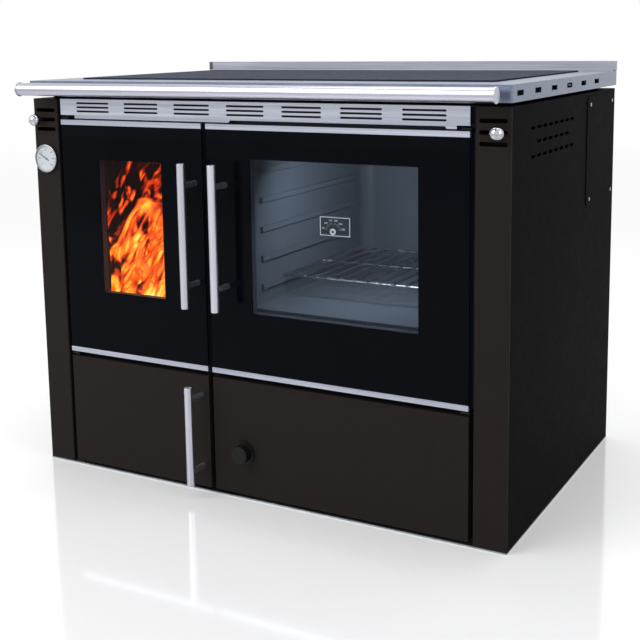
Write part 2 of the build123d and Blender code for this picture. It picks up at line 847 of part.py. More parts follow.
# Oven door
oven_door_x = (oven_door_low_x, door_field_high_x)
oven_window_z = (oven_window_low_z, oven_window_high_z)
oven_handle_x = oven_door_low_x + oven_handle_edge_distance
finish(make_facia(oven_door_x, oven_window_x, oven_window_z), "oven_door_facia")
finish(make_window(oven_window_x, oven_window_z), "oven_door_window")
finish(make_door_frame(oven_door_x, oven_window_x, oven_window_z, oven_hinge_x), "oven_door_frame")
finish(make_gasket(oven_opening_x, (oven_low_z, oven_high_z)), "oven_door_gasket")
finish(make_trims(oven_door_x), "oven_door_trims")
finish(make_handle(oven_handle_x, handle_low_z, handle_high_z, handle_standoff_inset), "oven_door_handle")

inner_glass_y = front + glass_thickness + door_frame_depth

# Inner glass of the oven door, lapping the back of its frame
with BuildPart() as oven_door_inner_glass:
    glass_x = (oven_window_x[0] - inner_glass_lap, oven_window_x[1] + inner_glass_lap)
    glass_z = (oven_window_z[0], oven_window_z[1] + inner_glass_lap)
    cuboid(glass_x, (inner_glass_y, inner_glass_y + inner_glass_thickness), glass_z)
finish(oven_door_inner_glass.part, "oven_door_inner_glass")

# Plate of the oven thermometer
oven_gauge_y = inner_glass_y - oven_gauge_thickness
with BuildPart() as oven_thermometer:
    with BuildSketch(front_plane(inner_glass_y)):
        with Locations((oven_middle_x, oven_gauge_z)):
            RectangleRounded(oven_gauge_width, oven_gauge_height, oven_gauge_corner_radius)
    extrude(amount=oven_gauge_thickness)
finish(oven_thermometer.part, "oven_thermometer")


def make_needle(x, z, face_y, length, tail, hub_radius, angle):
    """A flat pointer on a round hub, turned from upright by an angle, just off the face behind it."""
    rear_y = face_y - needle_gap
    with BuildPart() as needle:
        with BuildSketch(front_plane(rear_y)):
            with Locations((x, z)):
                Circle(hub_radius)
            with Locations(Location((x, z, 0), (0, 0, angle))):
                with Locations((0, (length - tail) / 2)):
                    Rectangle(2 * gauge_needle_half_width, length + tail)
        extrude(amount=gauge_needle_thickness)
    return needle.part


oven_hub_x = oven_middle_x + oven_gauge_hub_shift
oven_hub_z = oven_gauge_z - oven_gauge_hub_drop
oven_needle_size = (oven_needle_length, 0.0, oven_hub_radius, oven_needle_rest_angle)
finish(make_needle(oven_hub_x, oven_hub_z, oven_gauge_y, *oven_needle_size), "oven_needle")


def make_tray(tray_x, tray_z, depth, wall, stile_x=None):
    """A folded front plate with its flanges turned back, and a solid hinge stile if it has one."""
    inner_x = [tray_x[0] + wall, tray_x[1] - wall]
    if stile_x is not None:
        inner_x[0] = tray_x[0] + hinge_stile_width
    with BuildPart() as tray:
        cuboid(tray_x, (front, front + depth), tray_z)
        pocket_y = (front + wall, front + depth)
        cuboid(inner_x, pocket_y, (tray_z[0] + wall, tray_z[1] - wall), mode=Mode.SUBTRACT)
        if stile_x is not None:
            bore_radius = hinge_pin_radius + running_clearance
            bore_depth = hinge_pin_engagement + hinge_bore_spare
            low = ((stile_x, hinge_y, tray_z[0]), (stile_x, hinge_y, tray_z[0] + bore_depth))
            high = ((stile_x, hinge_y, tray_z[1] - bore_depth), (stile_x, hinge_y, tray_z[1]))
            bar(*low, bore_radius, mode=Mode.SUBTRACT)
            bar(*high, bore_radius, mode=Mode.SUBTRACT)
    return tray.part


# Ash door
ash_door_z = (lower_door_low_z, lower_door_high_z)
ash_panel = make_tray(fire_door_x, ash_door_z, lower_door_depth, lower_door_sheet, fire_hinge_x)
finish(ash_panel, "ash_door_panel")
ash_handle_size = (ash_handle_low_z, ash_handle_high_z, ash_handle_standoff_inset)
finish(make_handle(fire_handle_x, *ash_handle_size), "ash_door_handle")

# Fixed lower panel, with the hole for the regulator's spindle
with BuildPart() as lower_panel:
    add(make_tray(oven_door_x, ash_door_z, bulkhead_gap, lower_door_sheet))
    hole = ((regulator_x, front, regulator_z), (regulator_x, front + lower_door_sheet, regulator_z))
    bar(*hole, spindle_hole_radius, mode=Mode.SUBTRACT)
finish(lower_panel.part, "lower_panel")

# Vent strip: a folded channel with slots, and a lip set back below it
strip_x = (door_field_low_x, door_field_high_x)
with BuildPart() as vent_strip:
    with BuildSketch(front_plane(front)):
        with Locations((0, (strip_low_z + casing_height) / 2)):
            Rectangle(strip_x[1] - strip_x[0], casing_height - strip_low_z)
            with GridLocations(strip_group_pitch, strip_slot_pitch, strip_groups, strip_slot_rows):
                SlotOverall(strip_slot_length, strip_slot_height, mode=Mode.SUBTRACT)
    extrude(amount=-strip_sheet)
    cuboid(strip_x, (front, bulkhead_front), (casing_height - strip_sheet, casing_height))
    cuboid(strip_x, (front, bulkhead_front), (strip_low_z, strip_low_z + strip_sheet))
    with BuildSketch(front_plane(front + strip_lip_setback)):
        with Locations((0, (strip_lip_low_z + strip_low_z) / 2)):
            Rectangle(strip_x[1] - strip_x[0] - 2 * strip_lip_inset, strip_low_z - strip_lip_low_z)
        with BuildLine():
            notch_top_z = strip_lip_low_z + strip_notch_height
            Polyline(
                (strip_notch_low_x, strip_lip_low_z),
                (strip_notch_low_x + strip_notch_chamfer, notch_top_z),
                (strip_notch_high_x - strip_notch_chamfer, notch_top_z),
                (strip_notch_high_x, strip_lip_low_z),
                close=True,
            )
        make_face(mode=Mode.SUBTRACT)
    extrude(amount=-strip_sheet)
finish(vent_strip.part, "vent_strip")

# Recessed spacer between the casing and the top frame
spacer_x = (-(half_width - spacer_side_inset), half_width - spacer_side_inset)
spacer_y = (front + spacer_front_inset, back - spacer_rear_inset)
with BuildPart() as top_spacer:
    cuboid(spacer_x, spacer_y, (casing_height, frame_low_z))
    inner_x = (spacer_x[0] + spacer_width, spacer_x[1] - spacer_width)
    inner_y = (spacer_y[0] + spacer_width, spacer_y[1] - spacer_width)
    cuboid(inner_x, inner_y, (casing_height, frame_low_z), mode=Mode.SUBTRACT)
finish(top_spacer.part, "top_spacer")

# Top frame: skirt, bottom flange, top plate, and the ledge that carries the hob plate
frame_x = (-(half_width + frame_side_overhang), half_width + frame_side_overhang)
frame_y = (front - frame_front_overhang, back + frame_rear_overhang)
frame_middle_y = sum(frame_y) / 2
frame_size = (frame_x[1] - frame_x[0], frame_y[1] - frame_y[0])
opening_size = (hob_width + 2 * hob_side_clearance, hob_depth + 2 * hob_side_clearance)
ledge_z = hob_low_z - seal_height
with BuildPart() as top_frame:
    with BuildSketch(Plane.XY.offset(frame_low_z)):
        with Locations((0, frame_middle_y)):
            RectangleRounded(*frame_size, frame_corner_radius)
            inner = (frame_size[0] - 2 * frame_sheet, frame_size[1] - 2 * frame_sheet)
            Rectangle(*inner, mode=Mode.SUBTRACT)
    extrude(amount=frame_height)
    with BuildSketch(Plane.XY.offset(frame_low_z)):
        with Locations((0, frame_middle_y)):
            RectangleRounded(*frame_size, frame_corner_radius)
            inner = (frame_size[0] - 2 * frame_flange_width, frame_size[1] - 2 * frame_flange_width)
            Rectangle(*inner, mode=Mode.SUBTRACT)
    extrude(amount=frame_sheet)
    with BuildSketch(Plane.XY.offset(frame_high_z - frame_sheet)):
        with Locations((0, frame_middle_y)):
            RectangleRounded(*frame_size, frame_corner_radius)
        with Locations((0, hob_middle_y)):
            RectangleRounded(*opening_size, hob_corner_radius, mode=Mode.SUBTRACT)
    extrude(amount=frame_sheet)
    with BuildSketch(Plane.XY.offset(ledge_z - frame_sheet)):
        with Locations((0, hob_middle_y)):
            outer = (opening_size[0] + 2 * frame_sheet, opening_size[1] + 2 * frame_sheet)
            RectangleRounded(*outer, hob_corner_radius + frame_sheet)
            RectangleRounded(*opening_size, hob_corner_radius, mode=Mode.SUBTRACT)
    extrude(amount=frame_high_z - ledge_z)
    with BuildSketch(Plane.XY.offset(ledge_z - frame_sheet)):
        with Locations((0, hob_middle_y)):
            RectangleRounded(*outer, hob_corner_radius + frame_sheet)
            inner = (opening_size[0] - 2 * ledge_width, opening_size[1] - 2 * ledge_width)
            Rectangle(*inner, mode=Mode.SUBTRACT)
    extrude(amount=frame_sheet)
    slot_middle_y = frame_slot_first_y + (frame_slot_count - 1) * frame_slot_pitch / 2
    with BuildSketch(Plane.YZ.offset(frame_x[0])):
        with Locations((slot_middle_y, frame_high_z - frame_slot_drop)):
            with GridLocations(frame_slot_pitch, 0, frame_slot_count, 1):
                RectangleRounded(frame_slot_length, frame_slot_height, 1)
    extrude(amount=frame_size[0], mode=Mode.SUBTRACT)
finish(top_frame.part, "top_frame")

# Rope seal on the ledge, and the hob plate on it
with BuildPart() as hob_seal:
    with BuildSketch(Plane.XY.offset(ledge_z)):
        with Locations((0, hob_middle_y)):
            RectangleRounded(hob_width, hob_depth, hob_corner_radius)
            Rectangle(hob_width - 2 * seal_width, hob_depth - 2 * seal_width, mode=Mode.SUBTRACT)
    extrude(amount=seal_height)
finish(hob_seal.part, "hob_seal")

with BuildPart() as hob_plate:
    with BuildSketch(Plane.XY.offset(hob_low_z)):
        with Locations((0, hob_middle_y)):
            RectangleRounded(hob_width, hob_depth, hob_corner_radius)
    extrude(amount=hob_thickness)
    fillet(hob_plate.faces().sort_by(Axis.Z)[-1].edges(), radius=hob_edge_radius)
finish(hob_plate.part, "hob_plate")

# Rear upstand: a plate along the back edge of the frame, with a foot and two short returns
upstand_z = (frame_high_z, frame_high_z + upstand_height)
with BuildPart() as rear_upstand:
    cuboid(frame_x, (frame_y[1] - upstand_sheet, frame_y[1]), upstand_z)
    foot_y = (frame_y[1] - upstand_foot, frame_y[1])
    cuboid((frame_x[0] + frame_corner_radius, frame_x[1] - frame_corner_radius), foot_y,
           (frame_high_z, frame_high_z + upstand_sheet))
    for side in (0, 1):
        inward = upstand_sheet * (1 - 2 * side)
        return_y = (frame_y[1] - upstand_return, frame_y[1])
        cuboid((frame_x[side], frame_x[side] + inward), return_y, upstand_z)
finish(rear_upstand.part, "rear_upstand")

# Hand rail tube
rail_x = span(0, rail_length)
with BuildPart() as hand_rail:
    bar((rail_x[0], rail_y, rail_z), (rail_x[1], rail_y, rail_z), rail_radius)
    bar((rail_x[0], rail_y, rail_z), (rail_x[1], rail_y, rail_z), rail_radius - rail_wall, mode=Mode.SUBTRACT)
finish(hand_rail.part, "hand_rail")


def make_rail_bracket(side):
    """One bracket: a round stub from the frame, hollowed to sit on the rail."""
    x = side * (rail_length / 2 - rail_bracket_inset)
    with BuildPart() as bracket:
        bar((x, rail_y, rail_z), (x, frame_y[0], rail_z), rail_bracket_radius)
        saddle = ((x - 2 * rail_bracket_radius, rail_y, rail_z), (x + 2 * rail_bracket_radius, rail_y, rail_z))
        bar(*saddle, rail_radius, mode=Mode.SUBTRACT)
    return bracket.part


def make_rail_cap(side):
    """One end cap: a disc with a plug that fits the rail."""
    end_x = side * rail_length / 2
    with BuildPart() as cap:
        bar((end_x, rail_y, rail_z), (end_x + side * rail_cap_thickness, rail_y, rail_z), rail_cap_radius)
        fillet(cap.edges().filter_by(GeomType.CIRCLE), radius=rail_cap_thickness / 4)
        plug_radius = rail_radius - rail_wall - rail_plug_clearance
        bar((end_x - side * rail_plug_length, rail_y, rail_z), (end_x, rail_y, rail_z), plug_radius)
    return cap.part


rail_fittings = Compound(children=[
    fitting
    for side in (-1, 1)
    for fitting in (make_rail_bracket(side), make_rail_cap(side))
])
finish(rail_fittings, "rail_fittings")

# Water jacket: two skins with water between them, round three sides of the fire
jacket_z = (jacket_low_z, jacket_high_z)
water_z = (jacket_low_z + jacket_wall, jacket_high_z - jacket_wall)
water_y = (bulkhead_back + jacket_wall, jacket_back_y - jacket_wall)
with BuildPart() as boiler_jacket:
    cuboid((jacket_low_x, jacket_high_x), (bulkhead_back, jacket_back_y), jacket_z)
    cuboid((fire_low_x, fire_high_x), (bulkhead_back, fire_back_y), jacket_z, mode=Mode.SUBTRACT)
    left_water = (jacket_low_x + jacket_wall, jacket_low_x + jacket_wall + jacket_water_gap)
    right_water = (jacket_high_x - jacket_wall - jacket_water_gap, jacket_high_x - jacket_wall)
    rear_water = (jacket_back_y - jacket_wall - jacket_water_gap, jacket_back_y - jacket_wall)
    cuboid(left_water, water_y, water_z, mode=Mode.SUBTRACT)
    cuboid(right_water, water_y, water_z, mode=Mode.SUBTRACT)
    cuboid((left_water[0], right_water[1]), rear_water, water_z, mode=Mode.SUBTRACT)
    for wall_x, inward in ((fire_low_x, 1), (fire_high_x, -1)):
        ledge_x = (wall_x, wall_x + inward * grate_ledge_width)
        ledge_y = (bulkhead_back, fire_back_y)
        cuboid(ledge_x, ledge_y, (grate_low_z - grate_ledge_height, grate_low_z))
        throat_y = (bulkhead_back + throat_front_gap, fire_back_y)
        cuboid(ledge_x, throat_y, (throat_z - grate_ledge_height, throat_z))
    for socket, x, z, tap_radius in socket_places():
        hole = ((x, jacket_back_y - jacket_wall, z), (x, jacket_back_y, z))
        bar(*hole, tap_radius - socket_step, mode=Mode.SUBTRACT)
finish(boiler_jacket.part, "boiler_jacket")

# Threaded water sockets, welded to the jacket and standing out behind the rear panel
socket_end_y = back + socket_beyond_rear
with BuildPart() as water_sockets:
    for socket, x, z, tap_radius in socket_places():
        bar((x, jacket_back_y, z), (x, socket_end_y, z), tap_radius + socket_wall)
        bar((x, jacket_back_y, z), (x, socket_end_y, z), tap_radius - socket_step, mode=Mode.SUBTRACT)
        thread = ((x, socket_end_y - socket_thread_length, z), (x, socket_end_y, z))
        bar(*thread, tap_radius, mode=Mode.SUBTRACT)
finish(water_sockets.part, "water_sockets")

# Cast grate on its ledges
with BuildPart() as fire_grate:
    with BuildSketch(Plane.XY.offset(grate_low_z)):
        grate_x = (fire_low_x + grate_clearance, fire_high_x - grate_clearance)
        grate_y = (bulkhead_back + grate_clearance, fire_back_y - grate_clearance)
        with Locations((sum(grate_x) / 2, sum(grate_y) / 2)):
            Rectangle(grate_x[1] - grate_x[0], grate_y[1] - grate_y[0])
        with Locations((sum(grate_x) / 2, sum(grate_y) / 2)):
            with GridLocations(grate_slot_pitch, 0, grate_slot_count, 1):
                SlotOverall(grate_slot_length, grate_slot_width, rotation=90, mode=Mode.SUBTRACT)
    extrude(amount=grate_thickness)
finish(fire_grate.part, "fire_grate")

# Firebricks standing on the grate: one on each side and one at the back
brick_z = (grate_low_z + grate_thickness, grate_low_z + grate_thickness + brick_height)
brick_back_y = fire_back_y - brick_clearance
with BuildPart() as firebricks:
    back_brick_y = (brick_back_y - brick_thickness, brick_back_y)
    cuboid((fire_low_x + brick_clearance, fire_high_x - brick_clearance), back_brick_y, brick_z)
    side_brick_y = (bulkhead_back + brick_clearance, back_brick_y[0] - brick_clearance)
    for wall_x, inward in ((fire_low_x, 1), (fire_high_x, -1)):
        brick_x = (wall_x + inward * brick_clearance, wall_x + inward * (brick_clearance + brick_thickness))
        cuboid(brick_x, side_brick_y, brick_z)
finish(firebricks.part, "firebricks")

# Throat plate over the fire
with BuildPart() as throat_plate:
    throat_x = (fire_low_x + grate_clearance, fire_high_x - grate_clearance)
    throat_y = (bulkhead_back + throat_front_gap, fire_back_y - grate_clearance)
    cuboid(throat_x, throat_y, (throat_z, throat_z + throat_thickness))
finish(throat_plate.part, "throat_plate")

# Ash box under the jacket, with the primary air opening and the ears of its flap
ash_box_x = (jacket_low_x - ash_box_side_inset, jacket_high_x + ash_box_side_inset)
ash_box_y = (bulkhead_back, jacket_back_y)
ash_box_z = (sheet, jacket_low_z)
air_opening_y = span(air_opening_middle_y, air_opening_length)
flap_y = (air_opening_y[0] - flap_lap, air_opening_y[1] + flap_lap)
flap_shaft_x = ash_box_x[1] + flap_shaft_distance
flap_shaft_z = air_opening_high_z + flap_shaft_rise
with BuildPart() as ash_box:
    cuboid(ash_box_x, ash_box_y, ash_box_z)
    inside_x = (ash_box_x[0] + ash_box_sheet, ash_box_x[1] - ash_box_sheet)
    inside_y = (ash_box_y[0], ash_box_y[1] - ash_box_sheet)
    floor_z = (ash_box_floor_z, ash_box_floor_z + ash_box_sheet)
    cuboid(inside_x, inside_y, (floor_z[1], ash_box_z[1]), mode=Mode.SUBTRACT)
    cuboid(inside_x, inside_y, (ash_box_z[0], floor_z[0]), mode=Mode.SUBTRACT)
    air_wall_x = (inside_x[1], ash_box_x[1])
    cuboid(air_wall_x, air_opening_y, (air_opening_low_z, air_opening_high_z), mode=Mode.SUBTRACT)
    ear_z = span(flap_shaft_z, 2 * flap_ear_reach)
    ear_x = (ash_box_x[1], ash_box_x[1] + flap_ear_reach)
    for end, outward in ((flap_y[0], -1), (flap_y[1], 1)):
        ear_y = (end + outward * flap_ear_gap, end + outward * (flap_ear_gap + flap_ear_sheet))
        cuboid(ear_x, ear_y, ear_z)
        hole = ((flap_shaft_x, ear_y[0], flap_shaft_z), (flap_shaft_x, ear_y[1], flap_shaft_z))
        bar(*hole, flap_shaft_radius + running_clearance, mode=Mode.SUBTRACT)
finish(ash_box.part, "ash_box")

# Primary air flap on its shaft
with BuildPart() as air_flap:
    flap_x = (ash_box_x[1] + slide_clearance, ash_box_x[1] + slide_clearance + flap_sheet)
    cuboid(flap_x, flap_y, (air_opening_low_z - flap_lap, flap_shaft_z))
    shaft_reach = flap_ear_gap + flap_ear_sheet
    shaft = ((flap_shaft_x, flap_y[0] - shaft_reach, flap_shaft_z),
             (flap_shaft_x, flap_y[1] + shaft_reach, flap_shaft_z))
    bar(*shaft, flap_shaft_radius)
finish(air_flap.part, "air_flap")

# Ash pan on the floor of the ash box, with a folded lug to pull it by
pan_x = (ash_opening_x[0] + ash_pan_side_gap, ash_opening_x[1] - ash_pan_side_gap)
pan_y = (bulkhead_back + ash_pan_front_gap, bulkhead_back + ash_pan_front_gap + ash_pan_depth)
pan_z = (floor_z[1], floor_z[1] + ash_pan_height)
with BuildPart() as ash_pan:
    cuboid(pan_x, pan_y, pan_z)
    hollow_x = (pan_x[0] + ash_pan_sheet, pan_x[1] - ash_pan_sheet)
    hollow_y = (pan_y[0] + ash_pan_sheet, pan_y[1] - ash_pan_sheet)
    cuboid(hollow_x, hollow_y, (pan_z[0] + ash_pan_sheet, pan_z[1]), mode=Mode.SUBTRACT)
    lug_x = span(sum(pan_x) / 2, ash_pan_lug_length)
    lug_z = (sum(pan_z) / 2, sum(pan_z) / 2 + ash_pan_sheet)
    cuboid(lug_x, (pan_y[0] - ash_pan_lug_reach, pan_y[0]), lug_z)
finish(ash_pan.part, "ash_pan")

# Oven box with its pressed rack rails
oven_outer_x = (oven_low_x - oven_sheet, oven_high_x + oven_sheet)
oven_outer_z = (oven_low_z - oven_sheet, oven_high_z + oven_sheet)
oven_outer_depth = oven_depth + oven_sheet
with BuildPart() as oven_box:
    with BuildSketch(Plane.XY.offset(oven_outer_z[0])):
        with Locations((oven_middle_x, bulkhead_back + oven_outer_depth / 2)):
            Rectangle(oven_width + 2 * oven_sheet, oven_outer_depth)
    extrude(amount=oven_outer_z[1] - oven_outer_z[0])
    fillet(oven_box.edges().filter_by(Axis.Z).group_by(Axis.Y)[-1], radius=oven_corner_radius + oven_sheet)
    with BuildSketch(Plane.XY.offset(oven_low_z)) as cavity:
        with Locations((oven_middle_x, bulkhead_back + oven_depth / 2)):
            Rectangle(oven_width, oven_depth)
        fillet(cavity.vertices().group_by(Axis.Y)[-1], radius=oven_corner_radius)
    extrude(amount=oven_high_z - oven_low_z, mode=Mode.SUBTRACT)
    rail_y_limits = (bulkhead_back + oven_rail_front_gap, oven_back_y - oven_rail_rear_gap)
    for wall_x, inward in ((oven_low_x, 1), (oven_high_x, -1)):
        for level in oven_rail_levels:
            with BuildSketch(Plane.XZ.offset(-rail_y_limits[0])):
                with BuildLine():
                    Polyline(
                        (wall_x, level - oven_rail_height / 2),
                        (wall_x + inward * oven_rail_proud, level - oven_rail_height / 4),
                        (wall_x + inward * oven_rail_proud, level + oven_rail_height / 2),
                        (wall_x, level + oven_rail_height / 2),
                        close=True,
                    )
                make_face()
            extrude(amount=rail_y_limits[0] - rail_y_limits[1])
finish(oven_box.part, "oven_box")

# Wire rack on the lowest rails
rack_x = (oven_low_x + rack_side_gap, oven_high_x - rack_side_gap)
rack_z = oven_rail_levels[0] + oven_rail_height / 2 + rack_bar_radius
wire_z = rack_z + rack_bar_radius
with BuildPart() as oven_rack:
    for x in (rack_x[0] + rack_bar_radius, rack_x[1] - rack_bar_radius):
        bar((x, rack_front_y, rack_z), (x, rack_rear_y - oven_corner_radius, rack_z), rack_bar_radius)
    cross_y = (rack_front_y + rack_bar_radius, (rack_front_y + rack_rear_y - oven_corner_radius) / 2,
               rack_rear_y - oven_corner_radius - rack_bar_radius)
    for y in cross_y:
        cross_x = (rack_x[0] + rack_bar_radius, rack_x[1] - rack_bar_radius)
        bar((cross_x[0], y, rack_z), (cross_x[1], y, rack_z), rack_cross_radius)
    for index in range(rack_wire_count):
        x = oven_middle_x + (index - (rack_wire_count - 1) / 2) * rack_wire_pitch
        wire_y = (rack_front_y - rack_overhang, rack_rear_y - oven_corner_radius)
        bar((x, wire_y[0], wire_z), (x, wire_y[1], wire_z), rack_wire_radius)
        upturn_y = wire_y[0] + rack_bar_radius
        bar((x, upturn_y, wire_z), (x, upturn_y, wire_z + rack_upturn), rack_upturn_radius)
finish(oven_rack.part, "oven_rack")

# Smoke casing round the oven, with the shelf that the start damper opens
smoke_x = (smoke_low_x, smoke_high_x)
smoke_y = (bulkhead_back, smoke_back_y)
shelf_z = (smoke_shelf_z, smoke_shelf_z + smoke_sheet)
damper_z = (shelf_z[1] + slide_clearance, shelf_z[1] + slide_clearance + damper_thickness)
damper_opening_x = span(flue_x, damper_opening_width)
damper_opening_rear_y = smoke_back_y - damper_opening_rear_gap
damper_opening_y = (damper_opening_rear_y - damper_opening_depth, damper_opening_rear_y)
damper_plate_x = (damper_opening_x[0] - damper_lap, damper_opening_x[1] + damper_lap)
damper_plate_y = (damper_opening_y[0] - damper_lap, damper_opening_y[1] + damper_lap)
damper_arm_y = span(sum(damper_plate_y) / 2, 2 * damper_arm_half_width)
with BuildPart() as smoke_casing:
    cuboid(smoke_x, smoke_y, (smoke_low_z, casing_height))
    inside_x = (smoke_x[0] + smoke_sheet, smoke_x[1] - smoke_sheet)
    inside_y = (smoke_y[0], smoke_y[1] - smoke_sheet)
    cuboid(inside_x, inside_y, (smoke_low_z + smoke_sheet, casing_height), mode=Mode.SUBTRACT)
    cuboid((smoke_x[0], inside_x[0]), inside_y, (jacket_high_z, casing_height), mode=Mode.SUBTRACT)
    oven_rear_y = bulkhead_back + oven_outer_depth
    shelf_y = (oven_rear_y - oven_corner_radius - oven_sheet, inside_y[1])
    cuboid(inside_x, shelf_y, shelf_z)
    cuboid(inside_x, (shelf_y[0], shelf_y[0] + smoke_sheet), (oven_outer_z[1], shelf_z[0]))
    cuboid(damper_opening_x, damper_opening_y, shelf_z, mode=Mode.SUBTRACT)
    slot_y = (damper_arm_y[0] - rod_travel - damper_slot_clearance, damper_arm_y[1] + damper_slot_clearance)
    slot_z = (damper_z[0] - slide_clearance, damper_z[1] + damper_slot_clearance)
    cuboid((inside_x[1], smoke_x[1]), slot_y, slot_z, mode=Mode.SUBTRACT)
    flue_hole = ((flue_x, inside_y[1], flue_z), (flue_x, smoke_y[1], flue_z))
    bar(*flue_hole, flue_radius - flue_wall, mode=Mode.SUBTRACT)
finish(smoke_casing.part, "smoke_casing")

# Flue spigot with its flange
with BuildPart() as flue_spigot:
    bar((flue_x, smoke_back_y, flue_z), (flue_x, smoke_back_y + flue_flange_thickness, flue_z), flue_flange_radius)
    bar((flue_x, smoke_back_y, flue_z), (flue_x, back, flue_z), flue_radius + flue_shoulder)
    bar((flue_x, back, flue_z), (flue_x, back + flue_beyond_rear, flue_z), flue_radius)
    bore = ((flue_x, smoke_back_y, flue_z), (flue_x, back + flue_beyond_rear, flue_z))
    bar(*bore, flue_radius - flue_wall, mode=Mode.SUBTRACT)
finish(flue_spigot.part, "flue_spigot")


def make_ball_knob(x):
    """A ball knob with a blind bore for its rod."""
    with BuildPart() as knob:
        with Locations((x, ball_y, rod_z)):
            Sphere(ball_radius)
        bore_y = (ball_y + ball_radius - ball_bore_depth, ball_y + ball_radius)
        bar((x, bore_y[0], rod_z), (x, bore_y[1], rod_z), rod_radius + running_clearance, mode=Mode.SUBTRACT)
    return knob.part


finish(make_ball_knob(rod_x), "damper_knob")
finish(make_ball_knob(-rod_x), "air_knob")
rod_front_y = ball_y + ball_radius - ball_bore_depth

# Start damper: rod, lug, arm and plate, welded together
with BuildPart() as start_damper:
    cuboid(damper_plate_x, damper_plate_y, damper_z)
    cuboid((damper_plate_x[1], rod_x + lug_half_height), damper_arm_y, damper_z)
    lug_x = span(rod_x, 2 * lug_half_height)
    lug_y = (damper_arm_y[0], damper_arm_y[0] + lug_thickness)
    cuboid(lug_x, lug_y, (damper_z[0], rod_z + lug_half_height))
    bar((rod_x, rod_front_y, rod_z), (rod_x, lug_y[0], rod_z), rod_radius)
finish(start_damper.part, "start_damper")

# Secondary air duct on the side of the jacket, with guides for its slide
duct_x = (jacket_low_x - air_duct_depth, jacket_low_x)
duct_y = (air_duct_low_y, air_duct_high_y)
duct_z = span(rod_z, 2 * air_duct_half_height)
slide_x = (duct_x[0] - slide_clearance - air_slide_thickness, duct_x[0] - slide_clearance)
slide_high_y = air_duct_high_y - air_duct_wall
air_slide_low_y = slide_high_y - air_slide_length
slide_z = (duct_z[0] + air_guide_height + slide_clearance, duct_z[1] - air_guide_height - slide_clearance)
with BuildPart() as air_duct:
    cuboid(duct_x, duct_y, duct_z)
    hollow_x = (duct_x[0] + air_duct_wall, duct_x[1])
    hollow_y = (duct_y[0] + air_duct_wall, duct_y[1] - air_duct_wall)
    cuboid(hollow_x, hollow_y, (duct_z[0] + air_duct_wall, duct_z[1] - air_duct_wall), mode=Mode.SUBTRACT)
    slot_middle_y = (air_slide_low_y + slide_high_y) / 2
    for index in range(air_slot_count):
        slot_y = span(slot_middle_y + (index - (air_slot_count - 1) / 2) * air_slot_pitch, air_slot_width)
        cuboid((duct_x[0], hollow_x[0]), slot_y, span(rod_z, air_slot_height), mode=Mode.SUBTRACT)
    lip_x = (slide_x[0] - slide_clearance - air_lip_thickness, slide_x[0] - slide_clearance)
    for edge_z, inward in ((duct_z[0], 1), (duct_z[1], -1)):
        cuboid((lip_x[0], duct_x[0]), duct_y, (edge_z, edge_z + inward * air_guide_height))
        lip_z = (edge_z + inward * air_guide_height, edge_z + inward * (air_guide_height + air_lip_height))
        cuboid(lip_x, duct_y, lip_z)
finish(air_duct.part, "air_duct")

# Air slide: rod, lug and plate, welded together
with BuildPart() as air_slide:
    cuboid(slide_x, (air_slide_low_y, slide_high_y), slide_z)
    lug_x = (-rod_x - lug_half_height, slide_x[0])
    lug_y = (air_slide_low_y, air_slide_low_y + lug_thickness)
    cuboid(lug_x, lug_y, span(rod_z, 2 * lug_half_height))
    bar((-rod_x, rod_front_y, rod_z), (-rod_x, lug_y[0], rod_z), rod_radius)
finish(air_slide.part, "air_slide")


def make_rod_guide(side):
    """A plate across the back of a post, bored for the pull rod."""
    guide_x = (side * (half_width - sheet), side * (post_inner + sheet))
    guide_y = (front + post_depth - rod_guide_sheet, front + post_depth)
    with BuildPart() as guide:
        cuboid(guide_x, guide_y, span(rod_z, rod_guide_height))
        hole = ((side * rod_x, guide_y[0], rod_z), (side * rod_x, guide_y[1], rod_z))
        bar(*hole, rod_radius + running_clearance, mode=Mode.SUBTRACT)
    return guide.part


finish(Compound(children=[make_rod_guide(-1), make_rod_guide(1)]), "rod_guides")

# Regulator spindle with the lever that pulls the flap's chain
with BuildPart() as regulator_spindle:
    knob_face_y = front - regulator_face_gap
    spindle_front_y = knob_face_y - spindle_socket_depth
    spindle_start = (regulator_x, spindle_front_y, regulator_z)
    bar(spindle_start, (regulator_x, spindle_end_y, regulator_z), spindle_radius)
    lever_y = (spindle_end_y - lever_thickness, spindle_end_y)
    cuboid((regulator_x - lever_length, regulator_x), lever_y, span(regulator_z, 2 * lever_half_width))
finish(regulator_spindle.part, "regulator_spindle")

# Regulator knob: a skirt and a fluted grip, bored for the spindle
with BuildPart() as regulator_knob:
    skirt_y = knob_face_y - regulator_skirt_thickness
    bar((regulator_x, knob_face_y, regulator_z), (regulator_x, skirt_y, regulator_z), regulator_skirt_radius)
    grip_y = skirt_y - regulator_grip_depth
    bar((regulator_x, skirt_y, regulator_z), (regulator_x, grip_y, regulator_z), regulator_grip_radius)
    fillet(regulator_knob.faces().sort_by(Axis.Y)[0].edges(), radius=regulator_flute_radius)
    with BuildSketch(front_plane(grip_y)):
        with Locations((regulator_x, regulator_z)):
            with PolarLocations(regulator_grip_radius, regulator_grip_flutes):
                Circle(regulator_flute_radius)
    extrude(amount=-regulator_grip_depth, mode=Mode.SUBTRACT)
    socket = ((regulator_x, spindle_front_y, regulator_z), (regulator_x, knob_face_y, regulator_z))
    bar(*socket, spindle_radius, mode=Mode.SUBTRACT)
finish(regulator_knob.part, "regulator_knob")

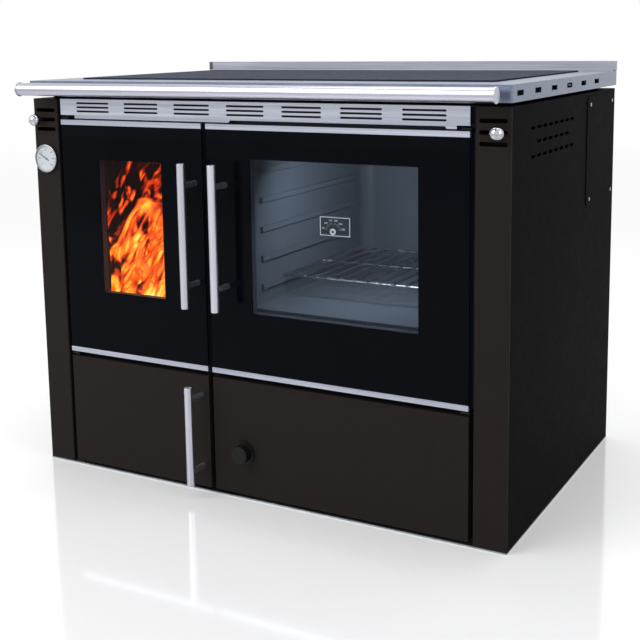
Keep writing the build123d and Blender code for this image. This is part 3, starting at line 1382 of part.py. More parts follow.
# Boiler thermometer: a shallow case with its dial
dial_back_y = front - gauge_floor
with BuildPart() as thermometer_case:
    bar((gauge_x, front, gauge_z), (gauge_x, front - gauge_depth, gauge_z), gauge_radius)
    fillet(thermometer_case.faces().sort_by(Axis.Y)[0].edges(), radius=gauge_wall / 2)
    hollow = ((gauge_x, dial_back_y, gauge_z), (gauge_x, front - gauge_depth, gauge_z))
    bar(*hollow, gauge_radius - gauge_wall, mode=Mode.SUBTRACT)
finish(thermometer_case.part, "thermometer_case")

dial_face_y = dial_back_y - gauge_dial_thickness
with BuildPart() as thermometer_dial:
    dial_radius = gauge_radius - gauge_wall - screw_clearance
    bar((gauge_x, dial_back_y, gauge_z), (gauge_x, dial_face_y, gauge_z), dial_radius)
finish(thermometer_dial.part, "thermometer_dial")

needle_size = (gauge_needle_length, gauge_needle_tail, gauge_hub_radius, gauge_rest_angle)
finish(make_needle(gauge_x, gauge_z, dial_face_y, *needle_size), "boiler_needle")
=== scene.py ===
"""Boiler stove: the finishes of its CAD nodes, and the fire, dial marks and lenses that go with them."""
import logging
from dataclasses import dataclass, field
from enum import Enum
from math import cos, pi, radians, sin

import bpy
from mathutils import Matrix, Vector


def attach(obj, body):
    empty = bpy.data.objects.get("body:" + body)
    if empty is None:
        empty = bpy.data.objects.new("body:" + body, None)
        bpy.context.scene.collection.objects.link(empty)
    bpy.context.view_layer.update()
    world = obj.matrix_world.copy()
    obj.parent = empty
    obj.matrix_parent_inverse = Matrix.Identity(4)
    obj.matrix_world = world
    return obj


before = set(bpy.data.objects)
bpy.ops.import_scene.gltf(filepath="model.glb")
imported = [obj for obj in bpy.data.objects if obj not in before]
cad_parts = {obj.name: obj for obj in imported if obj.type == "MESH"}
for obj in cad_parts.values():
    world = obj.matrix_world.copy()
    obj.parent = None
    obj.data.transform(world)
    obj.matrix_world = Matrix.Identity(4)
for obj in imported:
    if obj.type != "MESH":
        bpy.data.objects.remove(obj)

Tone = tuple[float, float, float]
Point = tuple[float, float, float]

LOG = logging.getLogger("boiler_stove")

# How fine and broad noise make up a surface's tone, and where its tone and gloss reach their ends
FINE_SHARE = 0.6
BROAD_REACH = 2.4
TONE_RANGE = (0.32, 0.72)
GLOSS_RANGE = (0.3, 0.7)
BARK_CRACK = 0.22

# How much lamp light a pane lets through
PANE_PASS = 0.9

# Flames burn hotter low down and to the right
FLAME_LEAN = (1.7, 0.0, -2.4)
FLAME_SWIRL = 3.1
FLAME_COLD = -0.44
FLAME_HOT = 0.66
FLAME_EDGE = (0.12, 0.42)
FLAME_COLOURS = [(0.0, (0.10, 0.002, 0.0)), (0.3, (0.75, 0.035, 0.002)), (0.5, (1.0, 0.16, 0.006)),
                 (0.72, (1.0, 0.46, 0.03)), (1.0, (1.0, 0.80, 0.22))]

# A short tick's length beside a long one, and how far out it sits
SHORT_TICK = 0.6
SHORT_TICK_LIFT = 0.2


class Pattern(Enum):
    """The surface effects that a finish can be built on."""

    GRAIN = "surface grain"
    ROPE = "rope weave"
    BARK = "charred bark"
    FLAME = "flame"


def tone(red: int, green: int, blue: int) -> Tone:
    """A colour as seen on screen, 0 to 255, turned into the shader's linear scale."""
    parts = [v / 255 for v in (red, green, blue)]
    return tuple(v / 12.92 if v <= 0.04045 else ((v + 0.055) / 1.055) ** 2.4 for v in parts)


class Group:
    """A shader node group under construction."""

    def __init__(self, name: str, inputs: dict[str, str], outputs: dict[str, str]) -> None:
        """Starts the group.

        Args:
            name: the group's name.
            inputs: socket name to kind, for what goes in.
            outputs: socket name to kind, for what comes out.
        """
        self.tree = bpy.data.node_groups.new(name, "ShaderNodeTree")
        for way, sockets in (("INPUT", inputs), ("OUTPUT", outputs)):
            for label, kind in sockets.items():
                self.tree.interface.new_socket(label, in_out=way, socket_type="NodeSocket" + kind)
        self.inlet = self.tree.nodes.new("NodeGroupInput")
        self.outlet = self.tree.nodes.new("NodeGroupOutput")

    def node(self, kind: str, **settings: object) -> bpy.types.Node:
        """Adds a node.

        Args:
            kind: the node's type without its Shader prefix.
            settings: its settings by name.

        Returns:
            The new node.
        """
        made = self.tree.nodes.new("ShaderNode" + kind)
        for label, value in settings.items():
            setattr(made, label, value)
        return made

    def link(self, start: bpy.types.NodeSocket, end: bpy.types.NodeSocket) -> None:
        """Joins an output to an input."""
        self.tree.links.new(start, end)

    def noise(self, scale: float, detail: float, distortion: float = 0.0) -> bpy.types.NodeSocket:
        """A noise on the group's own vector.

        Args:
            scale: repeats per unit of the vector.
            detail: octaves of finer noise.
            distortion: how far it is swirled.

        Returns:
            The noise's value.
        """
        made = self.node("TexNoise")
        made.inputs["Scale"].default_value = scale
        made.inputs["Detail"].default_value = detail
        made.inputs["Distortion"].default_value = distortion
        self.link(self.inlet.outputs["Vector"], made.inputs["Vector"])
        return made.outputs["Fac"]

    def spread(self, value: bpy.types.NodeSocket, low: float, high: float) -> bpy.types.NodeSocket:
        """Stretches a value so that low to high becomes 0 to 1.

        Args:
            value: what is stretched.
            low: the value that becomes 0.
            high: the value that becomes 1.

        Returns:
            The stretched value.
        """
        made = self.node("MapRange")
        made.inputs["From Min"].default_value = low
        made.inputs["From Max"].default_value = high
        self.link(value, made.inputs["Value"])
        return made.outputs["Result"]

    def sum(self, first: bpy.types.NodeSocket, share: float, second: bpy.types.NodeSocket) -> bpy.types.NodeSocket:
        """Adds two values, the first in part.

        Args:
            first: the value that is taken in part.
            share: how much of it.
            second: the value that is taken whole.

        Returns:
            The sum.
        """
        made = self.node("Math", operation="MULTIPLY_ADD")
        made.inputs[1].default_value = share
        self.link(first, made.inputs[0])
        self.link(second, made.inputs[2])
        return made.outputs[0]

    def mix(self, share: bpy.types.NodeSocket, first: str, second: str, kind: str) -> bpy.types.NodeSocket:
        """Mixes two of the group's inputs.

        Args:
            share: 0 for the first and 1 for the second.
            first: the first input's name.
            second: the second input's name.
            kind: RGBA for colours or FLOAT for numbers.

        Returns:
            The mixed value.
        """
        made = self.node("Mix", data_type=kind)
        start, result = (6, 2) if kind == "RGBA" else (2, 0)
        self.link(share, made.inputs[0])
        self.link(self.inlet.outputs[first], made.inputs[start])
        self.link(self.inlet.outputs[second], made.inputs[start + 1])
        return made.outputs[result]

    def ramp(self, value: bpy.types.NodeSocket, stops: list[tuple[float, Tone]]) -> bpy.types.NodeSocket:
        """A run of colours over a value.

        Args:
            value: where on the ramp.
            stops: places and colours, first to last.

        Returns:
            The colour.
        """
        made = self.node("ValToRGB")
        bar = made.color_ramp.elements
        while len(bar) < len(stops):
            bar.new(0.5)
        for stop, (place, colour) in zip(bar, stops):
            stop.position = place
            stop.color = (*colour, 1.0)
        self.link(value, made.inputs[0])
        return made.outputs["Color"]


def fill_flame(made: Group) -> None:
    """Makes the flame effect: a swirled noise that cools upwards.

    Args:
        made: the group that is filled.
    """
    spot = made.node("TexCoord")
    lean = made.node("VectorMath", operation="DOT_PRODUCT")
    lean.inputs[1].default_value = FLAME_LEAN
    made.link(spot.outputs["Object"], lean.inputs[0])
    heat = made.sum(made.noise(1.0, 5.0, 1.3), FLAME_SWIRL, lean.outputs["Value"])
    heat = made.spread(heat, FLAME_COLD, FLAME_HOT)
    made.link(made.ramp(heat, FLAME_COLOURS), made.outlet.inputs["Colour"])
    made.link(made.spread(heat, *FLAME_EDGE), made.outlet.inputs["Alpha"])


def relief(made: Group, pattern: Pattern) -> tuple[bpy.types.NodeSocket, bpy.types.NodeSocket]:
    """Makes the fine and the broad variation of a solid surface.

    Args:
        made: the group that is filled.
        pattern: which effect.

    Returns:
        The fine and the broad value.
    """
    if pattern is Pattern.ROPE:
        wave = made.node("TexWave", wave_type="BANDS", bands_direction="DIAGONAL")
        wave.inputs["Scale"].default_value = 1.0
        wave.inputs["Distortion"].default_value = 0.8
        made.link(made.inlet.outputs["Vector"], wave.inputs["Vector"])
        return wave.outputs["Fac"], made.noise(0.5, 3.0)
    if pattern is Pattern.BARK:
        cell = made.node("TexVoronoi", feature="DISTANCE_TO_EDGE")
        cell.inputs["Scale"].default_value = 1.0
        made.link(made.inlet.outputs["Vector"], cell.inputs["Vector"])
        return made.spread(cell.outputs["Distance"], 0.0, BARK_CRACK), made.noise(2.0, 4.0)
    return made.noise(1.0, 4.0), made.noise(0.07, 3.0, 0.4)


def surface_group(pattern: Pattern) -> bpy.types.ShaderNodeTree:
    """The shared effect behind a family of finishes, made once.

    Args:
        pattern: which effect.

    Returns:
        A group that gives Colour, with Alpha for flames and with Roughness and Height for the rest.
    """
    if pattern.value in bpy.data.node_groups:
        return bpy.data.node_groups[pattern.value]
    made = Group(pattern.value,
                 {"Vector": "Vector", "Dark": "Color", "Light": "Color", "Smooth": "Float", "Coarse": "Float"},
                 {"Colour": "Color", "Roughness": "Float", "Height": "Float", "Alpha": "Float"})
    if pattern is Pattern.FLAME:
        fill_flame(made)
        return made.tree
    fine, broad = relief(made, pattern)
    blend = made.spread(made.sum(fine, FINE_SHARE, made.spread(broad, 0.0, BROAD_REACH)), *TONE_RANGE)
    made.link(made.mix(blend, "Dark", "Light", "RGBA"), made.outlet.inputs["Colour"])
    gloss = made.mix(made.spread(broad, *GLOSS_RANGE), "Smooth", "Coarse", "FLOAT")
    made.link(gloss, made.outlet.inputs["Roughness"])
    made.link(fine, made.outlet.inputs["Height"])
    return made.tree


@dataclass(frozen=True)
class Finish:
    """One finish: two near tones, a gloss range, and the size and depth of its grain."""

    name: str
    dark: Tone
    light: Tone
    gloss: tuple[float, float]
    grain: Point
    depth: float = 0.0
    metallic: float = 0.0
    specular: float = 0.5
    bend: float = 1.5
    transmission: float = 0.0
    glow: float = 0.0
    turn: Point = (0.0, 0.0, 0.0)
    pattern: Pattern = Pattern.GRAIN

    def material(self) -> bpy.types.Material:
        """Builds the material, or gives the one built before.

        Returns:
            The finish as a material.
        """
        if self.name in bpy.data.materials:
            return bpy.data.materials[self.name]
        made = bpy.data.materials.new(self.name)
        made.use_nodes = True
        tree = made.node_tree
        shader = tree.nodes["Principled BSDF"]
        place = tree.nodes.new("ShaderNodeTexCoord")
        mapping = tree.nodes.new("ShaderNodeMapping")
        mapping.vector_type = "TEXTURE"
        mapping.inputs["Scale"].default_value = tuple(1 / repeats for repeats in self.grain)
        mapping.inputs["Rotation"].default_value = self.turn
        effect = tree.nodes.new("ShaderNodeGroup")
        effect.node_tree = surface_group(self.pattern)
        effect.inputs["Dark"].default_value = (*self.dark, 1.0)
        effect.inputs["Light"].default_value = (*self.light, 1.0)
        effect.inputs["Smooth"].default_value, effect.inputs["Coarse"].default_value = self.gloss
        tree.links.new(place.outputs["Object"], mapping.inputs["Vector"])
        tree.links.new(mapping.outputs["Vector"], effect.inputs["Vector"])
        for socket, value in (("Metallic", self.metallic), ("Specular IOR Level", self.specular),
                              ("IOR", self.bend), ("Transmission Weight", self.transmission)):
            shader.inputs[socket].default_value = value
        if self.pattern is Pattern.FLAME:
            shader.inputs["Base Color"].default_value = (0.0, 0.0, 0.0, 1.0)
            shader.inputs["Roughness"].default_value = 1.0
            tree.links.new(effect.outputs["Colour"], shader.inputs["Emission Color"])
            tree.links.new(effect.outputs["Alpha"], shader.inputs["Alpha"])
            shader.inputs["Emission Strength"].default_value = self.glow
            return made
        tree.links.new(effect.outputs["Colour"], shader.inputs["Base Color"])
        tree.links.new(effect.outputs["Roughness"], shader.inputs["Roughness"])
        if self.glow:
            tree.links.new(effect.outputs["Colour"], shader.inputs["Emission Color"])
            shader.inputs["Emission Strength"].default_value = self.glow
        if self.depth:
            bump = tree.nodes.new("ShaderNodeBump")
            bump.inputs["Distance"].default_value = self.depth
            tree.links.new(effect.outputs["Height"], bump.inputs["Height"])
            tree.links.new(bump.outputs["Normal"], shader.inputs["Normal"])
        if self.transmission:
            self.pass_light(tree, shader)
        return made

    def pass_light(self, tree: bpy.types.NodeTree, shader: bpy.types.Node) -> None:
        """Lets lamp light through a pane, as thin glass does.

        Args:
            tree: the material's nodes.
            shader: its Principled shader.
        """
        path = tree.nodes.new("ShaderNodeLightPath")
        clear = tree.nodes.new("ShaderNodeMath")
        clear.operation = "MULTIPLY_ADD"
        clear.inputs[1].default_value = -PANE_PASS
        clear.inputs[2].default_value = 1.0
        tree.links.new(path.outputs["Is Shadow Ray"], clear.inputs[0])
        tree.links.new(clear.outputs[0], shader.inputs["Alpha"])


BROWN_COAT = Finish("brown powder coat", tone(32, 27, 26), tone(38, 33, 31), (0.44, 0.54), (1100, 1100, 1100),
                    0.00006, specular=0.07)
BLACK_COAT = Finish("black powder coat", tone(9, 9, 10), tone(13, 13, 14), (0.42, 0.50), (1100, 1100, 1100),
                    0.00004, specular=0.005)
HEAT_PAINT = Finish("black heat-resistant paint", tone(20, 20, 22), tone(36, 36, 38), (0.55, 0.72), (420, 420, 420),
                    0.00012, specular=0.2)
FRAME_PAINT = Finish("blue-grey frame paint", tone(34, 42, 54), tone(48, 56, 70), (0.44, 0.55), (700, 700, 700),
                     0.00006, specular=0.2)
GALVANISED = Finish("galvanised sheet", tone(140, 146, 152), tone(176, 180, 184), (0.32, 0.50), (85, 85, 85),
                    0.00002, metallic=1.0)
ZINC = Finish("zinc plate", tone(140, 143, 150), tone(172, 174, 180), (0.28, 0.42), (500, 500, 500),
              0.00004, metallic=1.0)
STRIP_STEEL = Finish("brushed stainless along x", tone(150, 155, 170), tone(204, 208, 220), (0.28, 0.40),
                     (9, 260, 1500), 0.00002, metallic=1.0)
# The top frame's darker, bluer steel tone paints the dim reflection that the frame shows: painted reflection on
# brushed stainless.
FRAME_STEEL_PAINTED_REFLECTION = Finish("brushed stainless top frame with painted reflection", tone(100, 109, 129), tone(134, 143, 162), (0.26, 0.38),
                     (160, 160, 1600), 0.00002, metallic=1.0)
UPSTAND_STEEL = Finish("brushed stainless upstand", tone(134, 137, 146), tone(178, 181, 190), (0.30, 0.42),
                       (9, 260, 1500), 0.00002, metallic=1.0)
HANDLE_STEEL = Finish("satin stainless bar", tone(182, 184, 195), tone(220, 221, 230), (0.30, 0.40),
                      (1500, 1500, 12), 0.00002, metallic=1.0)
RAIL_STEEL = Finish("satin stainless rail", tone(164, 166, 180), tone(206, 207, 219), (0.18, 0.28),
                    (10, 1400, 1400), 0.00002, metallic=1.0)
CHROME = Finish("polished chrome", tone(172, 174, 180), tone(200, 201, 207), (0.06, 0.14), (300, 300, 300),
                0.00001, metallic=1.0)
RACK_WIRE = Finish("chromed rack wire", tone(150, 154, 162), tone(196, 199, 206), (0.16, 0.28), (300, 300, 300),
                   0.00001, metallic=1.0)
DIAL_WHITE = Finish("printed white dial", tone(212, 213, 214), tone(224, 225, 226), (0.38, 0.46), (900, 900, 900),
                    0.00001)
DIAL_STEEL = Finish("dark scale plate", tone(30, 36, 44), tone(42, 48, 58), (0.34, 0.44), (20, 400, 1400),
                    0.00001, metallic=0.4)
NEEDLE_BLACK = Finish("black needle enamel", tone(10, 10, 11), tone(22, 22, 24), (0.30, 0.40), (1500, 1500, 1500),
                      0.00001)
# The hob's slate-blue base tone paints the sheen that black glass ceramic shows, with its own reflection turned
# almost off: painted reflection on black glass.
HOB_GLASS_PAINTED_SHEEN = Finish("black glass ceramic with painted sheen", tone(40, 45, 60), tone(47, 52, 68), (0.34, 0.42), (900, 900, 900),
                   0.00001, specular=0.002)
SEAL_ROPE = Finish("woven sealing rope", tone(70, 66, 60), tone(138, 132, 122), (0.85, 0.95), (260, 260, 260),
                   0.0006, specular=0.2, pattern=Pattern.ROPE)
BLACK_GLASS = Finish("black printed glass", tone(4, 7, 12), tone(6, 9, 15), (0.02, 0.04), (12, 12, 12),
                     specular=0.04)
CLEAR_GLASS = Finish("clear door glass", tone(224, 228, 232), tone(231, 235, 238), (0.0, 0.006), (12, 12, 12),
                     transmission=1.0, bend=1.14)
# The oven enamel's grey is darkened to the shaded oven interior: the enamel's own grey with painted shade.
GREY_ENAMEL_AND_SHADE = Finish("grey oven enamel and painted shade", tone(82, 91, 103), tone(90, 99, 111), (0.34, 0.40), (900, 900, 900),
                     0.00001, specular=0.2)
CAST_IRON = Finish("cast iron", tone(34, 34, 36), tone(60, 58, 57), (0.55, 0.75), (380, 380, 380), 0.0004,
                   specular=0.35)
FIREBRICK = Finish("sooted firebrick", tone(22, 18, 15), tone(64, 52, 40), (0.85, 0.95), (150, 150, 150), 0.0007,
                   specular=0.1)
KNOB_BLACK = Finish("matt black knob", tone(12, 12, 13), tone(20, 20, 21), (0.42, 0.52), (1500, 1500, 1500),
                    0.00005, specular=0.2)
PRINT_DARK = Finish("dark dial print", tone(24, 26, 30), tone(40, 42, 46), (0.45, 0.55), (2500, 2500, 2500))
PRINT_LIGHT = Finish("light dial print", tone(196, 202, 210), tone(216, 221, 228), (0.40, 0.50), (2500, 2500, 2500))
CHARRED_WOOD = Finish("charred wood", tone(8, 6, 5), tone(48, 32, 24), (0.80, 0.95), (70, 26, 70), 0.002,
                      specular=0.1, pattern=Pattern.BARK)
EMBERS = Finish("glowing embers", (0.9, 0.10, 0.01), (0.02, 0.006, 0.004), (0.85, 0.95), (62, 62, 62), 0.002,
                specular=0.1, glow=1.4, pattern=Pattern.BARK)
FLAME = Finish("flame", (0.0, 0.0, 0.0), (1.0, 0.6, 0.1), (1.0, 1.0), (28, 28, 10.5), glow=1.7,
               turn=(0.0, radians(34), 0.0), pattern=Pattern.FLAME)

DRESS: dict[Finish, tuple[str, ...]] = {
    BROWN_COAT: ("left_post", "right_post", "ash_door_panel", "lower_panel"),
    BLACK_COAT: ("left_side_panel", "right_side_panel", "flue_side_cover", "top_spacer"),
    GALVANISED: ("rear_panel", "base_pan"),
    ZINC: ("casing_screws", "levelling_screws"),
    HEAT_PAINT: ("ash_box", "hinge_brackets", "boiler_jacket", "water_sockets", "smoke_casing", "flue_spigot",
                 "air_duct", "rod_guides", "start_damper", "air_slide", "air_flap", "regulator_spindle", "ash_pan"),
    FRAME_PAINT: ("front_bulkhead", "lower_bulkhead", "fire_door_frame", "oven_door_frame"),
    STRIP_STEEL: ("vent_strip", "fire_door_trims", "oven_door_trims"),
    UPSTAND_STEEL: ("rear_upstand",),
    FRAME_STEEL_PAINTED_REFLECTION: ("top_frame",),
    HANDLE_STEEL: ("fire_door_handle", "oven_door_handle", "ash_door_handle"),
    RAIL_STEEL: ("hand_rail", "rail_fittings"),
    CHROME: ("damper_knob", "air_knob", "thermometer_case"),
    RACK_WIRE: ("oven_rack",),
    DIAL_WHITE: ("thermometer_dial",),
    DIAL_STEEL: ("oven_thermometer",),
    NEEDLE_BLACK: ("boiler_needle", "oven_needle"),
    HOB_GLASS_PAINTED_SHEEN: ("hob_plate",),
    SEAL_ROPE: ("hob_seal", "fire_door_gasket", "oven_door_gasket"),
    BLACK_GLASS: ("fire_door_facia", "oven_door_facia"),
    CLEAR_GLASS: ("fire_door_window", "oven_door_window", "oven_door_inner_glass"),
    GREY_ENAMEL_AND_SHADE: ("oven_box",),
    CAST_IRON: ("fire_grate", "throat_plate"),
    FIREBRICK: ("firebricks",),
    KNOB_BLACK: ("regulator_knob",),
}


def dress_nodes() -> None:
    """Gives every CAD node its finish."""
    for finish, names in DRESS.items():
        for name in names:
            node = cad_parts[name]
            for holder in node.material_slots:
                holder.material = finish.material()
            LOG.info("%s dressed in %s", name, finish.name)
    bare = set(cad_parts) - {name for names in DRESS.values() for name in names}
    if bare:
        LOG.warning("no finish for %s", sorted(bare))


def clear_selection() -> None:
    """Deselects everything, because an operator acts on all that is selected."""
    bpy.ops.object.select_all(action="DESELECT")


def pick(obj: bpy.types.Object) -> None:
    """Selects one object and makes it active.

    Args:
        obj: the object.
    """
    clear_selection()
    obj.select_set(True)
    bpy.context.view_layer.objects.active = obj


def settle(obj: bpy.types.Object) -> None:
    """Moves an object's place, turn and size into its mesh."""
    pick(obj)
    bpy.ops.object.transform_apply(location=True, rotation=True, scale=True)


def copy_at(model: bpy.types.Object, place: Matrix) -> bpy.types.Object:
    """Copies a modelled piece, with its own mesh, to a place.

    Args:
        model: the finished piece.
        place: where its mesh goes.

    Returns:
        The copy.
    """
    twin = model.copy()
    twin.data = model.data.copy()
    twin.data.transform(place)
    bpy.context.scene.collection.objects.link(twin)
    return twin


def join(parts: list[bpy.types.Object]) -> bpy.types.Object:
    """Joins pieces into one.

    Args:
        parts: the pieces, at least one.

    Returns:
        The joined piece.
    """
    clear_selection()
    for part in parts:
        part.select_set(True)
    bpy.context.view_layer.objects.active = parts[0]
    bpy.ops.object.join()
    return bpy.context.object


def bevelled(width: float, segments: int) -> None:
    """Rounds the active object's edges.

    Args:
        width: how far the rounding reaches.
        segments: faces across it.
    """
    bpy.ops.object.modifier_add(type="BEVEL")
    made = bpy.context.object.modifiers[-1]
    made.width = width
    made.segments = segments
    bpy.ops.object.modifier_apply(modifier=made.name)


def disc(centre: Point, radius: float, thickness: float, edge: float, sides: int = 48) -> bpy.types.Object:
    """Models a round plate that faces the front, with a softened rim.

    Args:
        centre: the middle of the plate.
        radius: its radius.
        thickness: its thickness.
        edge: how far the rim is rounded.
        sides: faces round it.

    Returns:
        The plate.
    """
    clear_selection()
    bpy.ops.mesh.primitive_cylinder_add(vertices=sides, radius=radius, depth=thickness, location=centre,
                                        rotation=(pi / 2, 0, 0))
    made = bpy.context.object
    settle(made)
    bevelled(edge, 2)
    bpy.ops.object.shade_smooth_by_angle(angle=radians(40))
    return made


def figure(text: str, size: float, depth: float, place: Matrix) -> bpy.types.Object:
    """Models a raised figure that faces the front.

    Args:
        text: what it says.
        size: its height.
        depth: how far it stands up.
        place: where its middle goes.

    Returns:
        The figure as a mesh.
    """
    clear_selection()
    bpy.ops.object.text_add()
    made = bpy.context.object
    made.data.body = text
    made.data.size = size
    made.data.align_x = "CENTER"
    made.data.align_y = "CENTER"
    made.data.extrude = depth / 2
    made.data.resolution_u = 3
    bpy.ops.object.convert(target="MESH")
    made = bpy.context.object
    made.data.transform(place @ Matrix.Rotation(pi / 2, 4, "X"))
    return made


def keep(obj: bpy.types.Object, name: str, finish: Finish, body: str) -> bpy.types.Object:
    """Names and dresses a finished piece and lets it ride on its body.

    Args:
        obj: the piece.
        name: its name.
        finish: what it is dressed in.
        body: the CAD body that carries it.

    Returns:
        The piece.
    """
    settle(obj)
    obj.name = name
    obj.data.name = name
    obj.data.materials.clear()
    obj.data.materials.append(finish.material())
    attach(obj, body)
    LOG.info("%s: %d faces, rides %s", name, len(obj.data.polygons), body)
    return obj


@dataclass
class Dial:
    """Ticks and figures of a round scale that faces the front."""

    name: str
    centre: Point
    body: str
    slot: str
    finish: Finish
    figures: tuple[str, ...]
    sweep: tuple[float, float]
    tick_radius: float
    figure_radius: float
    figure_size: float
    tick: Point
    between: int = 4
    raised: float = 0.00015

    def place(self, angle: float, radius: float, turned: bool) -> Matrix:
        """Where something on the scale goes.

        Args:
            angle: degrees left of upright.
            radius: how far from the centre.
            turned: whether it points at the centre.

        Returns:
            The place as a matrix.
        """
        turn = radians(angle)
        middle = Vector(self.centre) + Vector((-sin(turn) * radius, -self.raised / 2, cos(turn) * radius))
        made = Matrix.Translation(middle)
        return made @ Matrix.Rotation(-turn, 4, "Y") if turned else made

    def model_ticks(self) -> bpy.types.Object:
        """Models one long and one short tick and copies them round the scale.

        Returns:
            All ticks as one piece.
        """
        first, last = self.sweep
        steps = (len(self.figures) - 1) * self.between
        kinds = []
        for share in (1.0, SHORT_TICK):
            clear_selection()
            bpy.ops.mesh.primitive_cube_add(size=1.0)
            bpy.context.object.scale = (self.tick[0], self.raised + self.tick[1], self.tick[2] * share)
            settle(bpy.context.object)
            bevelled(self.tick[0] * 0.15, 1)
            kinds.append(bpy.context.object)
        made = []
        for step in range(steps + 1):
            long = step % self.between == 0
            radius = self.tick_radius + (0.0 if long else self.tick[2] * SHORT_TICK_LIFT)
            angle = first + (last - first) * step / steps
            made.append(copy_at(kinds[0 if long else 1], self.place(angle, radius, True)))
        for kind in kinds:
            bpy.data.objects.remove(kind)
        return join(made)

    def model_figures(self) -> bpy.types.Object:
        """Models the figures, upright, inside or outside the ticks.

        Returns:
            All figures as one piece.
        """
        first, last = self.sweep
        made = []
        for index, text in enumerate(self.figures):
            angle = first + (last - first) * index / (len(self.figures) - 1)
            made.append(figure(text, self.figure_size, self.raised, self.place(angle, self.figure_radius, False)))
        return join(made)

    def build(self) -> None:
        """Builds the scale."""
        keep(self.model_ticks(), self.name + "_ticks", self.finish, self.body)
        keep(self.model_figures(), self.name + "_figures", self.finish, self.body)


@dataclass
class BoilerGauge:
    """The boiler thermometer's marks, pointer cap and lens."""

    centre: tuple[float, float] = (-0.507, 0.6835)
    dial_face: float = -0.3475
    lens_radius: float = 0.0273
    lens_back: float = -0.3491
    cap_radius: float = 0.0024

    def build(self) -> None:
        """Builds the pieces that the dial carries."""
        x, z = self.centre
        Dial("boiler_gauge", (x, self.dial_face, z), "casing", "dial_white", PRINT_DARK,
             ("0", "20", "40", "60", "80", "100", "120"), (135, -135), 0.0238, 0.0182, 0.0046,
             (0.0005, 0.0001, 0.0030)).build()
        cap = disc((x, self.dial_face - 0.0014, z), self.cap_radius, 0.0006, 0.0002, 24)
        keep(cap, "boiler_pointer_cap", CHROME, "boiler_pointer")
        lens = disc((x, self.lens_back - 0.0004, z), self.lens_radius, 0.0008, 0.0002)
        keep(lens, "boiler_gauge_lens", CLEAR_GLASS, "casing")


@dataclass
class OvenGauge:
    """The oven thermometer's outline, marks and pointer hub."""

    centre: tuple[float, float] = (0.186, 0.578)
    hub: tuple[float, float] = (0.182, 0.568)
    plate: tuple[float, float] = (0.066, 0.038)
    plate_face: float = -0.3245
    line: float = 0.0013
    line_height: float = 0.0003
    margin: float = 0.0016
    hub_radius: float = 0.0062
    cap_radius: float = 0.0026

    def model_outline(self) -> bpy.types.Object:
        """Models the light line round the plate from a plane, by inset and extrude.

        Returns:
            The outline.
        """
        clear_selection()
        bpy.ops.mesh.primitive_plane_add(size=1.0, location=(self.centre[0], self.plate_face, self.centre[1]),
                                         rotation=(pi / 2, 0, 0))
        made = bpy.context.object
        made.scale = (self.plate[0] - self.margin, self.plate[1] - self.margin, 1.0)
        settle(made)
        bpy.ops.object.mode_set(mode="EDIT")
        bpy.ops.mesh.select_all(action="SELECT")
        bpy.ops.mesh.inset(thickness=self.line, depth=0.0)
        bpy.ops.mesh.delete(type="FACE")
        bpy.ops.mesh.select_all(action="SELECT")
        bpy.ops.mesh.extrude_region_move(TRANSFORM_OT_translate={"value": (0, -self.line_height, 0)})
        bpy.ops.mesh.select_all(action="SELECT")
        bpy.ops.mesh.normals_make_consistent(inside=False)
        bpy.ops.object.mode_set(mode="OBJECT")
        return made

    def build(self) -> None:
        """Builds the pieces that the plate carries."""
        x, z = self.hub
        keep(self.model_outline(), "oven_gauge_outline", PRINT_LIGHT, "oven_door")
        Dial("oven_gauge", (x, self.plate_face, z), "oven_door", "dial_steel", PRINT_LIGHT,
             ("50", "100", "150", "200", "250", "300"), (75, -75), 0.0155, 0.0222, 0.0052,
             (0.0006, 0.0002, 0.0034), between=2).build()
        hub = disc((x, self.plate_face - 0.0014, z), self.hub_radius, 0.0006, 0.0002, 32)
        keep(hub, "oven_pointer_hub", PRINT_LIGHT, "oven_pointer")
        cap = disc((x, self.plate_face - 0.0019, z), self.cap_radius, 0.0006, 0.0002, 24)
        keep(cap, "oven_pointer_cap", NEEDLE_BLACK, "oven_pointer")


@dataclass
class Regulator:
    """The regulator knob's index dot."""

    centre: tuple[float, float] = (-0.0215, 0.0994)
    skirt_face: float = -0.3463
    dot_offset: float = 0.0218
    dot_radius: float = 0.0019

    def build(self) -> None:
        """Builds the dot."""
        x, z = self.centre
        dot = disc((x - self.dot_offset, self.skirt_face - 0.0001, z), self.dot_radius, 0.0006, 0.00015, 24)
        keep(dot, "regulator_index_dot", PRINT_LIGHT, "regulator")


